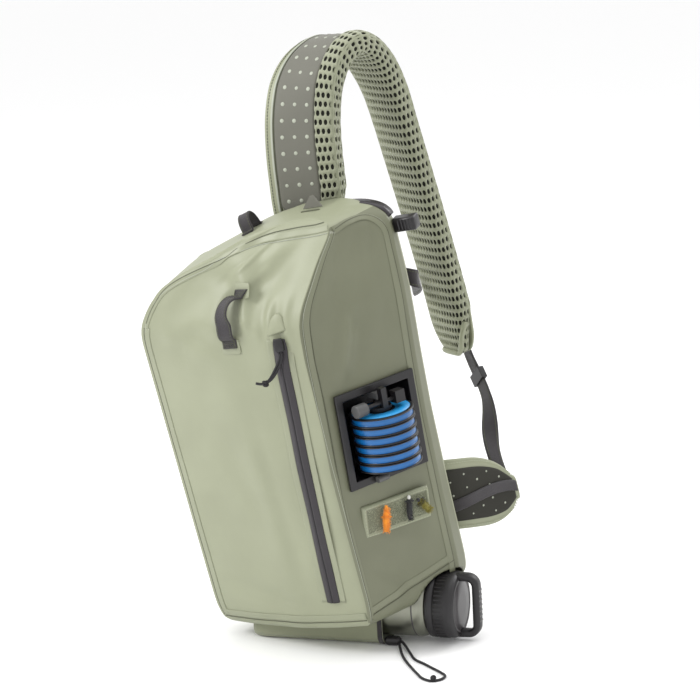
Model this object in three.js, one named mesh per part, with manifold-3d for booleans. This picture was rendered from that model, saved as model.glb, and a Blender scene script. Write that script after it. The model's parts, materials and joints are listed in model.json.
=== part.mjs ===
// A fishing tackle sling bag: a welded wedge-shaped bag with a padded arch strap, a port with
// a stack of line spools, a fly patch, and a bottle lying in a ribbed sleeve under its base.
// Millimetres, +Z up. The row frame has X along the bottle and Y towards the wearer's back.
import * as THREE from 'three';
import { mergeVertices } from 'three/addons/utils/BufferGeometryUtils.js';
import Module from 'manifold-3d';

const wasm = await Module();
wasm.setup();

// Driving sizes of the bag, in its own frame: X across, Y back, Z up, origin in its base
const HEIGHT = 400;
const HALF_WIDTH = 131;
const HALF_DEPTH = 75;
const WALL = 2.4;
const GAP = 0.3;
const LEAN_SIDE = -8.8;
const LEAN_FRONT = 8.4;
const BASE_LIFT = 34;

// Back panel, strap and hip wing
const BACK_PAD = 9;
const BACK_PAD_WIDTH = 206;
const BACK_PAD_HEIGHT = 330;
const STRAP_WIDTH = 74;
const STRAP_PAD = 18;
const STRAP_SHELL = 3;
const STRAP_ANGLE = 63;
const STRAP_X = 37;
const STRAP_FOOT = 318;
const STRAP_END = 180;
const STRAP_DRIFT = 10;
const WING_REACH = 104;
const WING_HEIGHT = 76;
const WING_THICK = 10;
const WEBBING_WIDTH = 17;
const WEBBING_THICK = 1.8;

// Front zip, loops and main zip
const ZIP_WIDTH = 14;
const ZIP_THICK = 2.2;
const LOOP_WIDTH = 16;
const SLOT_WIDTH = 6;

// Port, spools and fly patch
const PORT_WIDTH = 95;
const PORT_HEIGHT = 97;
const PORT_BORDER = 8;
const PORT_PLATE = 3.5;
const WELL_DEPTH = 36;
const WELL_WALL = 2;
const PORT_TILT = -4;
const PORT_UP = 186;
const PORT_ACROSS = 0.52;
const SPOOL_RADIUS = 32;
const SPOOL_COUNT = 6;
const SPOOL_THICK = 9;
const SPOOL_OUT = 7;
const BAR_RADIUS = 3.2;
const BORE_CLEARANCE = 0.8;
const PATCH_WIDTH = 78;
const PATCH_HEIGHT = 33;
const PATCH_THICK = 3;
const PATCH_UP = 101;

// Bottle and sleeve
const BOTTLE_RADIUS = 33.5;
const BOTTLE_WALL = 2;
const BOTTLE_LENGTH = 161;
const LID_LENGTH = 30;
const HANDLE_REACH = 20;
const SLEEVE_WALL = 2.4;
const SLEEVE_LENGTH = 142;
const SLEEVE_LEFT = -98;
const SLEEVE_Y = 28;
const SLEEVE_FLAT = 50;

// Cords
const CORD_RADIUS = 1.35;
const CORD_SIDES = 8;

// The sections of the bag: heights as shares of HEIGHT, X as shares of HALF_WIDTH and Y of HALF_DEPTH
const SECTIONS = [
  { up: 0.000, left: -0.930, right: 0.850, leftSeam: -0.02, ridgeX: 0.34, ridgeY: -0.62, rightSeam: 0.46 },
  { up: 0.012, left: -0.970, right: 0.880, leftSeam: -0.05, ridgeX: 0.38, ridgeY: -0.68, rightSeam: 0.50 },
  { up: 0.035, left: -0.992, right: 0.896, leftSeam: -0.07, ridgeX: 0.40, ridgeY: -0.71, rightSeam: 0.53 },
  { up: 0.070, left: -1.000, right: 0.900, leftSeam: -0.08, ridgeX: 0.41, ridgeY: -0.72, rightSeam: 0.55 },
  { up: 0.250, left: -1.000, right: 0.910, leftSeam: -0.09, ridgeX: 0.41, ridgeY: -0.73, rightSeam: 0.58 },
  { up: 0.450, left: -1.000, right: 0.930, leftSeam: -0.09, ridgeX: 0.41, ridgeY: -0.73, rightSeam: 0.60 },
  { up: 0.600, left: -1.000, right: 0.960, leftSeam: -0.09, ridgeX: 0.42, ridgeY: -0.73, rightSeam: 0.62 },
  { up: 0.700, left: -1.000, right: 0.985, leftSeam: -0.09, ridgeX: 0.42, ridgeY: -0.72, rightSeam: 0.63 },
  { up: 0.770, left: -1.000, right: 1.000, leftSeam: -0.09, ridgeX: 0.43, ridgeY: -0.69, rightSeam: 0.64 },
  { up: 0.800, left: -0.985, right: 1.003, leftSeam: -0.09, ridgeX: 0.44, ridgeY: -0.64, rightSeam: 0.64 },
  { up: 0.830, left: -0.935, right: 1.005, leftSeam: -0.08, ridgeX: 0.47, ridgeY: -0.54, rightSeam: 0.65 },
  { up: 0.870, left: -0.830, right: 1.005, leftSeam: -0.08, ridgeX: 0.53, ridgeY: -0.40, rightSeam: 0.66 },
  { up: 0.905, left: -0.690, right: 1.005, leftSeam: -0.06, ridgeX: 0.58, ridgeY: -0.28, rightSeam: 0.68 },
  { up: 0.930, left: -0.500, right: 1.003, leftSeam: -0.05, ridgeX: 0.62, ridgeY: -0.18, rightSeam: 0.70 },
  { up: 0.955, left: -0.240, right: 0.985, leftSeam: -0.03, ridgeX: 0.67, ridgeY: -0.10, rightSeam: 0.72 },
  { up: 0.975, left: -0.090, right: 0.930, leftSeam: -0.01, ridgeX: 0.70, ridgeY: -0.02, rightSeam: 0.74 },
  { up: 0.990, left: 0.060, right: 0.820, leftSeam: 0.02, ridgeX: 0.68, ridgeY: 0.05, rightSeam: 0.72 },
  { up: 1.000, left: 0.260, right: 0.660, leftSeam: 0.10, ridgeX: 0.58, ridgeY: 0.12, rightSeam: 0.60 },
];

// Dents and swells: places as shares of the panel's width and HEIGHT, depths of HALF_DEPTH, inwards positive
const DENTS = [
  { panel: 'front', across: 0.42, up: 0.86, wide: 0.13, tall: 0.050, deep: 0.060 },
  { panel: 'front', across: 0.66, up: 0.72, wide: 0.07, tall: 0.045, deep: 0.055 },
  { panel: 'front', across: 0.50, up: 0.62, wide: 0.10, tall: 0.080, deep: -0.035 },
  { panel: 'front', across: 0.30, up: 0.30, wide: 0.16, tall: 0.120, deep: 0.035 },
  { panel: 'front', across: 0.58, up: 0.20, wide: 0.07, tall: 0.150, deep: -0.030 },
  { panel: 'front', across: 0.90, up: 0.80, wide: 0.06, tall: 0.040, deep: 0.050 },
  { panel: 'side', across: 0.40, up: 0.80, wide: 0.20, tall: 0.060, deep: 0.070 },
  { panel: 'side', across: 0.50, up: 0.09, wide: 0.22, tall: 0.050, deep: 0.045 },
];

const FRONT_FULLNESS = 0.95;
const SIDE_SWELL = 0.012;
const CORNER_RADIUS = 14;
const FRONT_STEPS = 14;
const SIDE_STEPS = 7;

// Colours and finishes
function paint(color, roughness, metalness) {
  return new THREE.MeshStandardMaterial({ color, roughness, metalness });
}
const SAGE = paint(0xafb298, 0.62, 0);
const SAGE_MESH = paint(0xbcbfa6, 0.85, 0);
const GRAY_PANEL = paint(0x84847a, 0.8, 0);
const CHARCOAL = paint(0x3e393e, 0.55, 0);
const BLACK = paint(0x262328, 0.4, 0);
const SPOOL_BLUE = paint(0x1c86c8, 0.45, 0);
const STEEL = paint(0x9c9e8e, 0.32, 0.9);
const LID = paint(0x35323a, 0.5, 0);
const FELT = paint(0x8b8f76, 0.95, 0);
const FLY_ORANGE = paint(0xf5a423, 0.8, 0);
const FLY_BLACK = paint(0x1d1c1f, 0.8, 0);
const FLY_OLIVE = paint(0x736e19, 0.8, 0);

const rad = THREE.MathUtils.degToRad;
const lerp = THREE.MathUtils.lerp;
const V3 = (x, y, z) => new THREE.Vector3(x, y, z);

// Closed bodies from rings of points: each ring has as many points, and both ends are capped
function loft(rings, looped = false) {
  const count = rings[0].length;
  const positions = [];
  const index = [];
  rings.forEach((ring) => ring.forEach((p) => positions.push(p.x, p.y, p.z)));
  const spans = looped ? rings.length : rings.length - 1;
  for (let i = 0; i < spans; i += 1) {
    const next = (i + 1) % rings.length;
    for (let j = 0; j < count; j += 1) {
      const k = (j + 1) % count;
      index.push(i * count + j, i * count + k, next * count + k);
      index.push(i * count + j, next * count + k, next * count + j);
    }
  }
  if (!looped) {
    capRing(rings[0], 0, true, positions, index);
    capRing(rings[rings.length - 1], (rings.length - 1) * count, false, positions, index);
  }
  return outward(positions, index);
}

function capRing(ring, first, turned, positions, index) {
  const middle = V3(0, 0, 0);
  ring.forEach((p) => middle.addScaledVector(p, 1 / ring.length));
  const centre = positions.length / 3;
  positions.push(middle.x, middle.y, middle.z);
  ring.forEach((p, j) => {
    const k = (j + 1) % ring.length;
    const corners = turned ? [first + k, first + j] : [first + j, first + k];
    index.push(centre, ...corners);
  });
}

function outward(positions, index) {
  const at = (i) => V3(positions[3 * i], positions[3 * i + 1], positions[3 * i + 2]);
  let volume = 0;
  for (let i = 0; i < index.length; i += 3) {
    volume += at(index[i]).dot(at(index[i + 1]).cross(at(index[i + 2])));
  }
  if (volume < 0) {
    for (let i = 0; i < index.length; i += 3) {
      [index[i + 1], index[i + 2]] = [index[i + 2], index[i + 1]];
    }
  }
  const geometry = new THREE.BufferGeometry();
  geometry.setAttribute('position', new THREE.Float32BufferAttribute(positions, 3));
  geometry.setIndex(index);
  return geometry;
}

// Solids that can be joined and cut
function solid(geometry, matrix) {
  const copy = geometry.clone();
  if (matrix) copy.applyMatrix4(matrix);
  copy.deleteAttribute('normal');
  copy.deleteAttribute('uv');
  const merged = mergeVertices(copy, 1e-4);
  return new wasm.Manifold(new wasm.Mesh({
    numProp: 3,
    vertProperties: new Float32Array(merged.attributes.position.array),
    triVerts: new Uint32Array(merged.index.array),
  }));
}

function surface(manifold) {
  const mesh = manifold.getMesh();
  const geometry = new THREE.BufferGeometry();
  geometry.setAttribute('position', new THREE.Float32BufferAttribute(mesh.vertProperties, 3));
  geometry.setIndex(Array.from(mesh.triVerts));
  return geometry;
}

function named(name, geometry, material, parent) {
  const mesh = new THREE.Mesh(geometry, material);
  mesh.name = name;
  parent.add(mesh);
  return mesh;
}

// The bag's outline at a height, in millimetres
function outlineAt(z) {
  const up = THREE.MathUtils.clamp(z / HEIGHT, 0, 1);
  let i = 0;
  while (i < SECTIONS.length - 2 && SECTIONS[i + 1].up < up) i += 1;
  const a = SECTIONS[i];
  const b = SECTIONS[i + 1];
  const t = (up - a.up) / (b.up - a.up);
  const mix = (column, size) => lerp(a[column], b[column], t) * size;
  return {
    left: mix('left', HALF_WIDTH),
    right: mix('right', HALF_WIDTH),
    leftSeam: mix('leftSeam', HALF_DEPTH),
    ridgeX: mix('ridgeX', HALF_WIDTH),
    ridgeY: mix('ridgeY', HALF_DEPTH),
    rightSeam: mix('rightSeam', HALF_DEPTH),
  };
}

function dentAt(panel, across, z) {
  let sum = 0;
  DENTS.filter((dent) => dent.panel === panel).forEach((dent) => {
    const a = (across - dent.across) / dent.wide;
    const b = (z / HEIGHT - dent.up) / dent.tall;
    sum += dent.deep * HALF_DEPTH * Math.exp(-(a * a + b * b) / 2);
  });
  return sum * Math.sin(Math.PI * THREE.MathUtils.clamp(across, 0, 1)) ** 0.6;
}

function frontPoint(across, z) {
  const o = outlineAt(z);
  const fullness = Math.sin((across * Math.PI) / 2) ** FRONT_FULLNESS;
  const y = lerp(o.leftSeam, o.ridgeY, fullness);
  return V3(lerp(o.left, o.ridgeX, across), y + dentAt('front', across, z), z);
}

function sidePoint(across, z) {
  const o = outlineAt(z);
  const from = V3(o.ridgeX, o.ridgeY, z);
  const to = V3(o.right, o.rightSeam, z);
  const along = to.clone().sub(from);
  const out = V3(along.y, -along.x, 0).normalize();
  const swell = along.length() * SIDE_SWELL * Math.sin(Math.PI * across) - dentAt('side', across, z);
  return from.addScaledVector(along, across).addScaledVector(out, swell);
}

// Place and directions on a panel: right along it, up it and out of it
function panelFrame(point, across, z) {
  const step = 0.02;
  const rise = 4;
  const middle = point(across, z);
  const right = point(across + step, z).sub(point(across - step, z)).normalize();
  const up = point(across, z + rise).sub(point(across, z - rise)).normalize();
  const out = right.clone().cross(up).normalize();
  return { middle, right, up: out.clone().cross(right).normalize(), out };
}

function bagLoop(z) {
  const o = outlineAt(z);
  const loop = [];
  const corner = Math.min(CORNER_RADIUS, (o.right - o.left) / 5);
  [0, 0.5, 1].forEach((t) => {
    const angle = rad(90 * t);
    loop.push(V3(o.right - corner * (1 - Math.cos(angle)), HALF_DEPTH - corner * (1 - Math.sin(angle)), z));
  });
  [0.25, 0.5, 0.75].forEach((t) => {
    loop.push(V3(lerp(o.right - corner, o.left + corner, t), HALF_DEPTH, z));
  });
  [0, 0.5, 1].forEach((t) => {
    const angle = rad(90 * t);
    loop.push(V3(o.left + corner * (1 - Math.sin(angle)), HALF_DEPTH - corner * (1 - Math.cos(angle)), z));
  });
  loop.push(V3(o.left, lerp(HALF_DEPTH - corner, o.leftSeam, 0.5), z));
  for (let i = 0; i <= FRONT_STEPS; i += 1) loop.push(frontPoint(i / FRONT_STEPS, z));
  for (let i = 1; i <= SIDE_STEPS; i += 1) loop.push(sidePoint(i / SIDE_STEPS, z));
  return loop;
}

function insetLoop(loop, distance) {
  return loop.map((p, i) => {
    const before = loop[(i + loop.length - 1) % loop.length];
    const after = loop[(i + 1) % loop.length];
    const a = p.clone().sub(before).setZ(0).normalize();
    const b = after.clone().sub(p).setZ(0).normalize();
    const inward = V3(-a.y - b.y, a.x + b.x, 0).normalize();
    const miter = Math.max(0.6, inward.dot(V3(-b.y, b.x, 0)));
    return p.clone().addScaledVector(inward, distance / miter);
  });
}

// Frames of the assembly
const part = new THREE.Group();
const bag = new THREE.Group();
bag.position.set(0, 0, BASE_LIFT);
bag.rotation.set(rad(LEAN_FRONT), rad(LEAN_SIDE), 0, 'XYZ');
bag.updateMatrix();
part.add(bag);
const rowToBag = bag.matrix.clone().invert();

// Sleeve section in Y and Z: a round top over a flattened base
const SLEEVE_RADIUS = BOTTLE_RADIUS + GAP * 2 + SLEEVE_WALL;

function sleeveSection(grow) {
  const radius = SLEEVE_RADIUS + grow;
  const half = SLEEVE_FLAT / 2;
  const low = -grow;
  const outline = [];
  const fillet = SLEEVE_RADIUS - half;
  for (let i = 0; i <= 12; i += 1) {
    const angle = rad(180 * (i / 12));
    outline.push([Math.cos(angle) * radius, SLEEVE_RADIUS + Math.sin(angle) * radius]);
  }
  for (let i = 1; i <= 4; i += 1) {
    const angle = rad(180 + 90 * (i / 4));
    outline.push([-half + Math.cos(angle) * (fillet + grow), fillet + Math.sin(angle) * (fillet - low)]);
  }
  for (let i = 0; i < 4; i += 1) {
    const angle = rad(270 + 90 * (i / 4));
    outline.push([half + Math.cos(angle) * (fillet + grow), fillet + Math.sin(angle) * (fillet - low)]);
  }
  return outline;
}

function sleeveRing(x, grow, shrink = 1) {
  return sleeveSection(grow).map(([y, z]) => {
    return V3(x, SLEEVE_Y + y * shrink, SLEEVE_RADIUS + (z - SLEEVE_RADIUS) * shrink);
  });
}

// The recess in the bag's base that the sleeve and the bottle lie in
function recess(grow) {
  const far = HALF_WIDTH * 1.6;
  const start = SLEEVE_LEFT - grow;
  return solid(loft([sleeveRing(start, grow), sleeveRing(far, grow)]), rowToBag);
}

const portFrame = panelFrame(sidePoint, PORT_ACROSS, PORT_UP);

function portMatrix(outset) {
  const basis = new THREE.Matrix4().makeBasis(portFrame.right, portFrame.up, portFrame.out);
  const turn = new THREE.Matrix4().makeRotationZ(rad(PORT_TILT));
  const place = portFrame.middle.clone().addScaledVector(portFrame.out, outset);
  return new THREE.Matrix4().makeTranslation(place.x, place.y, place.z).multiply(basis).multiply(turn);
}

const PORT_SEAT = 0.9;
const WELL_WIDTH = PORT_WIDTH - 2 * PORT_BORDER;
const WELL_HEIGHT = PORT_HEIGHT - 2 * PORT_BORDER;

function box(width, height, depth, x = 0, y = 0, z = 0) {
  const geometry = new THREE.BoxGeometry(width, height, depth);
  geometry.translate(x, y, z);
  return geometry;
}

// The bag's welded shell
function makeShell() {
  const levels = SECTIONS.map((section) => section.up * HEIGHT);
  const between = [0.13, 0.19, 0.35, 0.52, 0.65, 0.85].map((up) => up * HEIGHT);
  const heights = [...levels, ...between].sort((a, b) => a - b);
  const outer = loft(heights.map((z) => bagLoop(z)));
  const inner = loft(heights.slice(1).map((z) => {
    return insetLoop(bagLoop(z), WALL).map((p) => p.setZ(Math.max(WALL, z - WALL)));
  }));
  const hull = solid(outer).subtract(recess(GAP));
  const cavity = solid(inner).subtract(recess(GAP + WALL));
  const hole = solid(box(
    WELL_WIDTH + 2 * (WELL_WALL + GAP), WELL_HEIGHT + 2 * (WELL_WALL + GAP), 30,
  ), portMatrix(0));
  const slot = solid(box(84, SLOT_WIDTH, 40, 84, HALF_DEPTH - 11, HEIGHT));
  return surface(hull.subtract(cavity).subtract(hole).subtract(slot));
}
named('body_shell', makeShell(), SAGE, bag);

// The port: a bordered plate with a well behind it
function makePort() {
  const plate = solid(box(PORT_WIDTH, PORT_HEIGHT, PORT_PLATE, 0, 0, PORT_PLATE / 2));
  const tray = solid(box(
    WELL_WIDTH + 2 * WELL_WALL, WELL_HEIGHT + 2 * WELL_WALL, WELL_DEPTH + WELL_WALL, 0, 0, -(WELL_DEPTH + WELL_WALL) / 2 + 1,
  ));
  const hollow = solid(box(WELL_WIDTH, WELL_HEIGHT, WELL_DEPTH + 10, 0, 0, 5 - WELL_DEPTH / 2 + 1));
  return surface(plate.add(tray).subtract(hollow));
}

function cylinder(radius, length, sides = 20) {
  const geometry = new THREE.CylinderGeometry(radius, radius, length, sides);
  return geometry;
}

const portPlace = portMatrix(PORT_SEAT);
named('port_frame', makePort(), BLACK, bag).applyMatrix4(portPlace);

// The spool stack stands upright in the well on a bar between two feet
const SPOOL_PITCH = SPOOL_THICK + GAP;
const STACK_HEIGHT = SPOOL_COUNT * SPOOL_PITCH;
const FOOT_HEIGHT = 6;
const BAR_TOP = WELL_HEIGHT / 2 - GAP;
const STACK_LOW = -WELL_HEIGHT / 2 + FOOT_HEIGHT + 2 * GAP;
const STACK_TOP = STACK_LOW + STACK_HEIGHT;

function at(geometry, x, y, z) {
  geometry.translate(x, y, z);
  return geometry;
}

function makeBar() {
  const reach = WELL_DEPTH + SPOOL_OUT - 1 - GAP;
  const rod = cylinder(BAR_RADIUS, 2 * BAR_TOP - 1, 16);
  const arm = (y) => solid(at(box(12, FOOT_HEIGHT, reach + 6), 0, y, SPOOL_OUT + 6 - (reach + 6) / 2));
  const low = arm(-WELL_HEIGHT / 2 + GAP + FOOT_HEIGHT / 2);
  const high = arm(WELL_HEIGHT / 2 - GAP - FOOT_HEIGHT / 2);
  return surface(solid(at(rod, 0, 0, SPOOL_OUT)).add(low).add(high));
}
named('spool_bar', makeBar(), BLACK, bag).applyMatrix4(portPlace);

function makeSpool() {
  const bore = BAR_RADIUS + BORE_CLEARANCE;
  const half = SPOOL_THICK / 2;
  const profile = [
    [bore, -half], [SPOOL_RADIUS, -half], [SPOOL_RADIUS, -half + 1.4], [SPOOL_RADIUS - 1.2, -half + 1.8],
    [SPOOL_RADIUS - 1.2, half - 1.8], [SPOOL_RADIUS, half - 1.4], [SPOOL_RADIUS, half], [bore, half], [bore, -half],
  ];
  return new THREE.LatheGeometry(profile.map(([r, y]) => new THREE.Vector2(r, y)), 24);
}
for (let i = 0; i < SPOOL_COUNT; i += 1) {
  const spool = at(makeSpool(), 0, STACK_LOW + SPOOL_PITCH * (i + 0.5), SPOOL_OUT);
  named(`spool_${i + 1}`, spool, SPOOL_BLUE, bag).applyMatrix4(portPlace);
}

const KNOB_RADIUS = 6.5;
const FOOT_KNOB_RADIUS = 3.6;

// Clamp hardware over the stack: a washer, a knurled knob, a toggle and a block on one cross rod
const CROSS_UP = STACK_TOP + 9;
function makeClamp() {
  const rod = cylinder(2.4, 44, 12);
  rod.rotateZ(rad(90));
  const washer = at(cylinder(11, 4, 18), 0, STACK_TOP + 2 + GAP, SPOOL_OUT);
  const neck = at(cylinder(BAR_RADIUS + 3, 8, 16), 0, STACK_TOP + 6, SPOOL_OUT);
  const bore = at(cylinder(BAR_RADIUS + GAP, 40, 16), 0, STACK_TOP + 6, SPOOL_OUT);
  const toggle = at(box(6, 20, 7), -2, CROSS_UP + 5, SPOOL_OUT + 9.5);
  const block = at(box(11, 12, 10), 15, CROSS_UP + 2, SPOOL_OUT + 10);
  const joined = solid(at(rod, 0, CROSS_UP, SPOOL_OUT + 8)).add(solid(washer)).add(solid(neck));
  return surface(joined.add(solid(toggle)).add(solid(block)).subtract(solid(bore)));
}
named('spool_clamp', makeClamp(), BLACK, bag).applyMatrix4(portPlace);

function knob(name, radius, x, y, z) {
  const geometry = cylinder(radius, 2 * KNOB_RADIUS, 16);
  geometry.rotateZ(rad(90));
  named(name, at(geometry, x, y, z), GRAY_PANEL, bag).applyMatrix4(portPlace);
}
knob('clamp_knob', KNOB_RADIUS, -22 - KNOB_RADIUS - GAP, CROSS_UP, SPOOL_OUT + 8);
knob('foot_knob', FOOT_KNOB_RADIUS, -12, -WELL_HEIGHT / 2 - PORT_BORDER / 2, PORT_PLATE + GAP + FOOT_KNOB_RADIUS);

// Felt fly patch with three flies
function panelSlab(point, across, up, width, height, lift, thick, columns, skew) {
  const frame = panelFrame(point, across, up);
  const span = point(across + 0.01, up).distanceTo(point(across - 0.01, up)) / 0.02;
  const low = [];
  const high = [];
  for (let i = 0; i <= columns; i += 1) {
    for (let side = 0; side < 2; side += 1) {
      const a = across + ((i / columns - 0.5) * width) / span;
      const rise = (i / columns - 0.5) * width * Math.sin(rad(skew));
      const z = up + rise + (side - 0.5) * height;
      const place = panelFrame(point, a, z);
      low.push(place.middle.clone().addScaledVector(frame.out, lift));
      high.push(place.middle.clone().addScaledVector(frame.out, lift + thick));
    }
  }
  const rings = [];
  for (let i = 0; i <= columns; i += 1) {
    rings.push([low[2 * i], low[2 * i + 1], high[2 * i + 1], high[2 * i]]);
  }
  return loft(rings);
}
const PATCH_LIFT = 0.9;
const PATCH_ACROSS = 0.485;
const PATCH_TILT = -5.5;
const patch = panelSlab(
  sidePoint, PATCH_ACROSS, PATCH_UP, PATCH_WIDTH, PATCH_HEIGHT, PATCH_LIFT, PATCH_THICK, 4, PATCH_TILT,
);
named('fly_patch', patch, FELT, bag);

const FLIES = [
  { name: 'fly_orange', along: -0.21, up: 0.0, length: 27, radius: 3.6, turn: 8, material: FLY_ORANGE },
  { name: 'fly_black', along: 0.15, up: 0.06, length: 24, radius: 3.2, turn: 4, material: FLY_BLACK },
  { name: 'fly_olive', along: 0.37, up: 0.0, length: 20, radius: 3.4, turn: -40, material: FLY_OLIVE },
];
FLIES.forEach((fly) => {
  const span = sidePoint(1, PATCH_UP).distanceTo(sidePoint(0, PATCH_UP));
  const across = PATCH_ACROSS + (fly.along * PATCH_WIDTH) / span;
  const z = PATCH_UP + fly.up * PATCH_HEIGHT + fly.along * PATCH_WIDTH * Math.sin(rad(PATCH_TILT));
  const frame = panelFrame(sidePoint, across, z);
  const body = new THREE.CapsuleGeometry(fly.radius, fly.length - 2 * fly.radius, 3, 8);
  body.rotateZ(rad(fly.turn));
  const basis = new THREE.Matrix4().makeBasis(frame.right, frame.up, frame.out);
  const lift = PATCH_LIFT + PATCH_THICK + fly.radius + 0.5;
  const place = frame.middle.clone().addScaledVector(frame.out, lift);
  body.applyMatrix4(basis);
  named(fly.name, at(body, place.x, place.y, place.z), fly.material, bag);
});

// Webbing and zip bands: a ring of four corners at each place, wide along right, thick along out
function bandRing(place, width, thick, lift) {
  const half = width / 2;
  const corner = (side, rise) => {
    return place.middle.clone().addScaledVector(place.right, side * half).addScaledVector(place.out, rise);
  };
  return [corner(-1, lift), corner(1, lift), corner(1, lift + thick), corner(-1, lift + thick)];
}

// Front zip, from under its hood down to the base
const ZIP_TOP = 0.762 * HEIGHT;
const ZIP_LOW = 0.077 * HEIGHT;
const ZIP_TOP_ACROSS = 0.88;
const ZIP_LOW_ACROSS = 0.807;
const ZIP_STEPS = 12;
const ZIP_LIFT = 0.8;

function zipPlace(t) {
  return panelFrame(frontPoint, lerp(ZIP_TOP_ACROSS, ZIP_LOW_ACROSS, t), lerp(ZIP_TOP, ZIP_LOW, t));
}
const zipRings = [];
for (let i = 0; i <= ZIP_STEPS; i += 1) {
  zipRings.push(bandRing(zipPlace(i / ZIP_STEPS), ZIP_WIDTH, ZIP_THICK, ZIP_LIFT));
}
named('front_zip', loft(zipRings), CHARCOAL, bag);

function placed(geometry, place, lift, along = 0, side = 0) {
  const basis = new THREE.Matrix4().makeBasis(place.right, place.up, place.out);
  const middle = place.middle.clone().addScaledVector(place.out, lift);
  middle.addScaledVector(place.up, along).addScaledVector(place.right, side);
  geometry.applyMatrix4(basis);
  return at(geometry, middle.x, middle.y, middle.z);
}
const SLIDER_LIFT = ZIP_LIFT + ZIP_THICK + GAP;
const SLIDER_THICK = 4;
const sliderPlace = zipPlace(0.02);
named('front_zip_slider', placed(box(9, 13, SLIDER_THICK), sliderPlace, SLIDER_LIFT + SLIDER_THICK / 2), BLACK, bag);

const HOOD_HEIGHT = 20;
const HOOD_LIFT = 0.9;
const hoodPlace = panelFrame(frontPoint, ZIP_TOP_ACROSS - 0.01, ZIP_TOP + HOOD_HEIGHT / 2 + 3);
const hoodOutline = new THREE.Shape([
  new THREE.Vector2(-11, -10), new THREE.Vector2(9, -6), new THREE.Vector2(6, 8), new THREE.Vector2(0, 11),
  new THREE.Vector2(-6, 6),
]);
const hood = new THREE.ExtrudeGeometry(hoodOutline, { depth: 3, bevelEnabled: false });
named('front_zip_hood', placed(hood, hoodPlace, HOOD_LIFT), SAGE, bag);

// Webbing loops: seat gives the place on the bag at a distance along the loop, so that its feet lie on the bag
const LOOP_LIFT = 0.8;
const LOOP_FOOT_LEAN = 15;
function makeLoop(seat, length, rise, width, foot) {
  const way = [
    { along: -length / 2 - foot, up: 0, angle: 90 }, { along: -length / 2 - 1, up: 0, angle: 90 + LOOP_FOOT_LEAN },
  ];
  for (let i = 0; i <= 8; i += 1) {
    const angle = 172 - 164 * (i / 8);
    const up = WEBBING_THICK + Math.sin(rad(angle)) * (rise - WEBBING_THICK);
    way.push({ along: (Math.cos(rad(angle)) * length) / 2, up, angle });
  }
  way.push({ along: length / 2 + 1, up: 0, angle: 90 - LOOP_FOOT_LEAN }, { along: length / 2 + foot, up: 0, angle: 90 });
  return loft(way.map((row) => {
    const place = seat(row.along);
    const middle = place.middle.clone().addScaledVector(place.out, row.up);
    const out = place.up.clone().multiplyScalar(Math.cos(rad(row.angle)));
    out.addScaledVector(place.out, Math.sin(rad(row.angle)));
    return bandRing({ middle, right: place.right, out }, width, WEBBING_THICK, LOOP_LIFT);
  }));
}
const FRONT_LOOP_ACROSS = 0.585;
const FRONT_LOOP_UP = 0.815 * HEIGHT;
const frontSeat = (along) => panelFrame(frontPoint, FRONT_LOOP_ACROSS, FRONT_LOOP_UP + along);
named('front_loop', makeLoop(frontSeat, 34, 14, LOOP_WIDTH, 9), CHARCOAL, bag);

// The top loop spans the sloping top from front to back
const TOP_LOOP_UP = 0.982 * HEIGHT;
const TOP_LOOP_Y = 34;
const topSlope = V3(outlineAt(0.99 * HEIGHT).left - outlineAt(0.975 * HEIGHT).left, 0, 0.015 * HEIGHT).normalize();
const topOut = V3(-topSlope.z, 0, topSlope.x);
const topMiddle = V3(outlineAt(TOP_LOOP_UP).left, TOP_LOOP_Y, TOP_LOOP_UP).addScaledVector(topOut, 0.3);
const topSeat = (along) => ({
  middle: topMiddle.clone().add(V3(0, -along, 0)), right: topSlope, up: V3(0, -1, 0), out: topOut,
});
named('top_loop', makeLoop(topSeat, 18, 16, LOOP_WIDTH - 3, 5), CHARCOAL, bag);

// Main zip along the rear of the top and over the right corner, with its dock
const mainZipPlaces = [
  { x: 0.34, up: 1.000, nx: 0, nz: 1 }, { x: 0.62, up: 1.000, nx: 0.04, nz: 1 }, { x: 0.82, up: 0.992, nx: 0.28, nz: 0.96 },
  { x: 0.935, up: 0.976, nx: 0.55, nz: 0.83 }, { x: 0.99, up: 0.957, nx: 0.85, nz: 0.5 }, { x: 1.0, up: 0.947, nx: 0.93, nz: 0.28 },
].map((row) => ({
  middle: V3(row.x * HALF_WIDTH, HALF_DEPTH - 11, row.up * HEIGHT),
  right: V3(0, 1, 0),
  out: V3(row.nx, 0, row.nz).normalize(),
}));
named('main_zip', loft(mainZipPlaces.map((place) => bandRing(place, ZIP_WIDTH, 3, 1.2))), CHARCOAL, bag);
const DOCK_OUT = 22;
const DOCK_HEIGHT = 14;
const dockPlace = {
  middle: V3(1.008 * HALF_WIDTH, HALF_DEPTH - 11, 0.9215 * HEIGHT), right: V3(0, 1, 0), up: V3(0, 0, 1), out: V3(1, 0, 0),
};
named('main_zip_dock', placed(box(16, DOCK_HEIGHT, DOCK_OUT), dockPlace, DOCK_OUT / 2), BLACK, bag);

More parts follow.
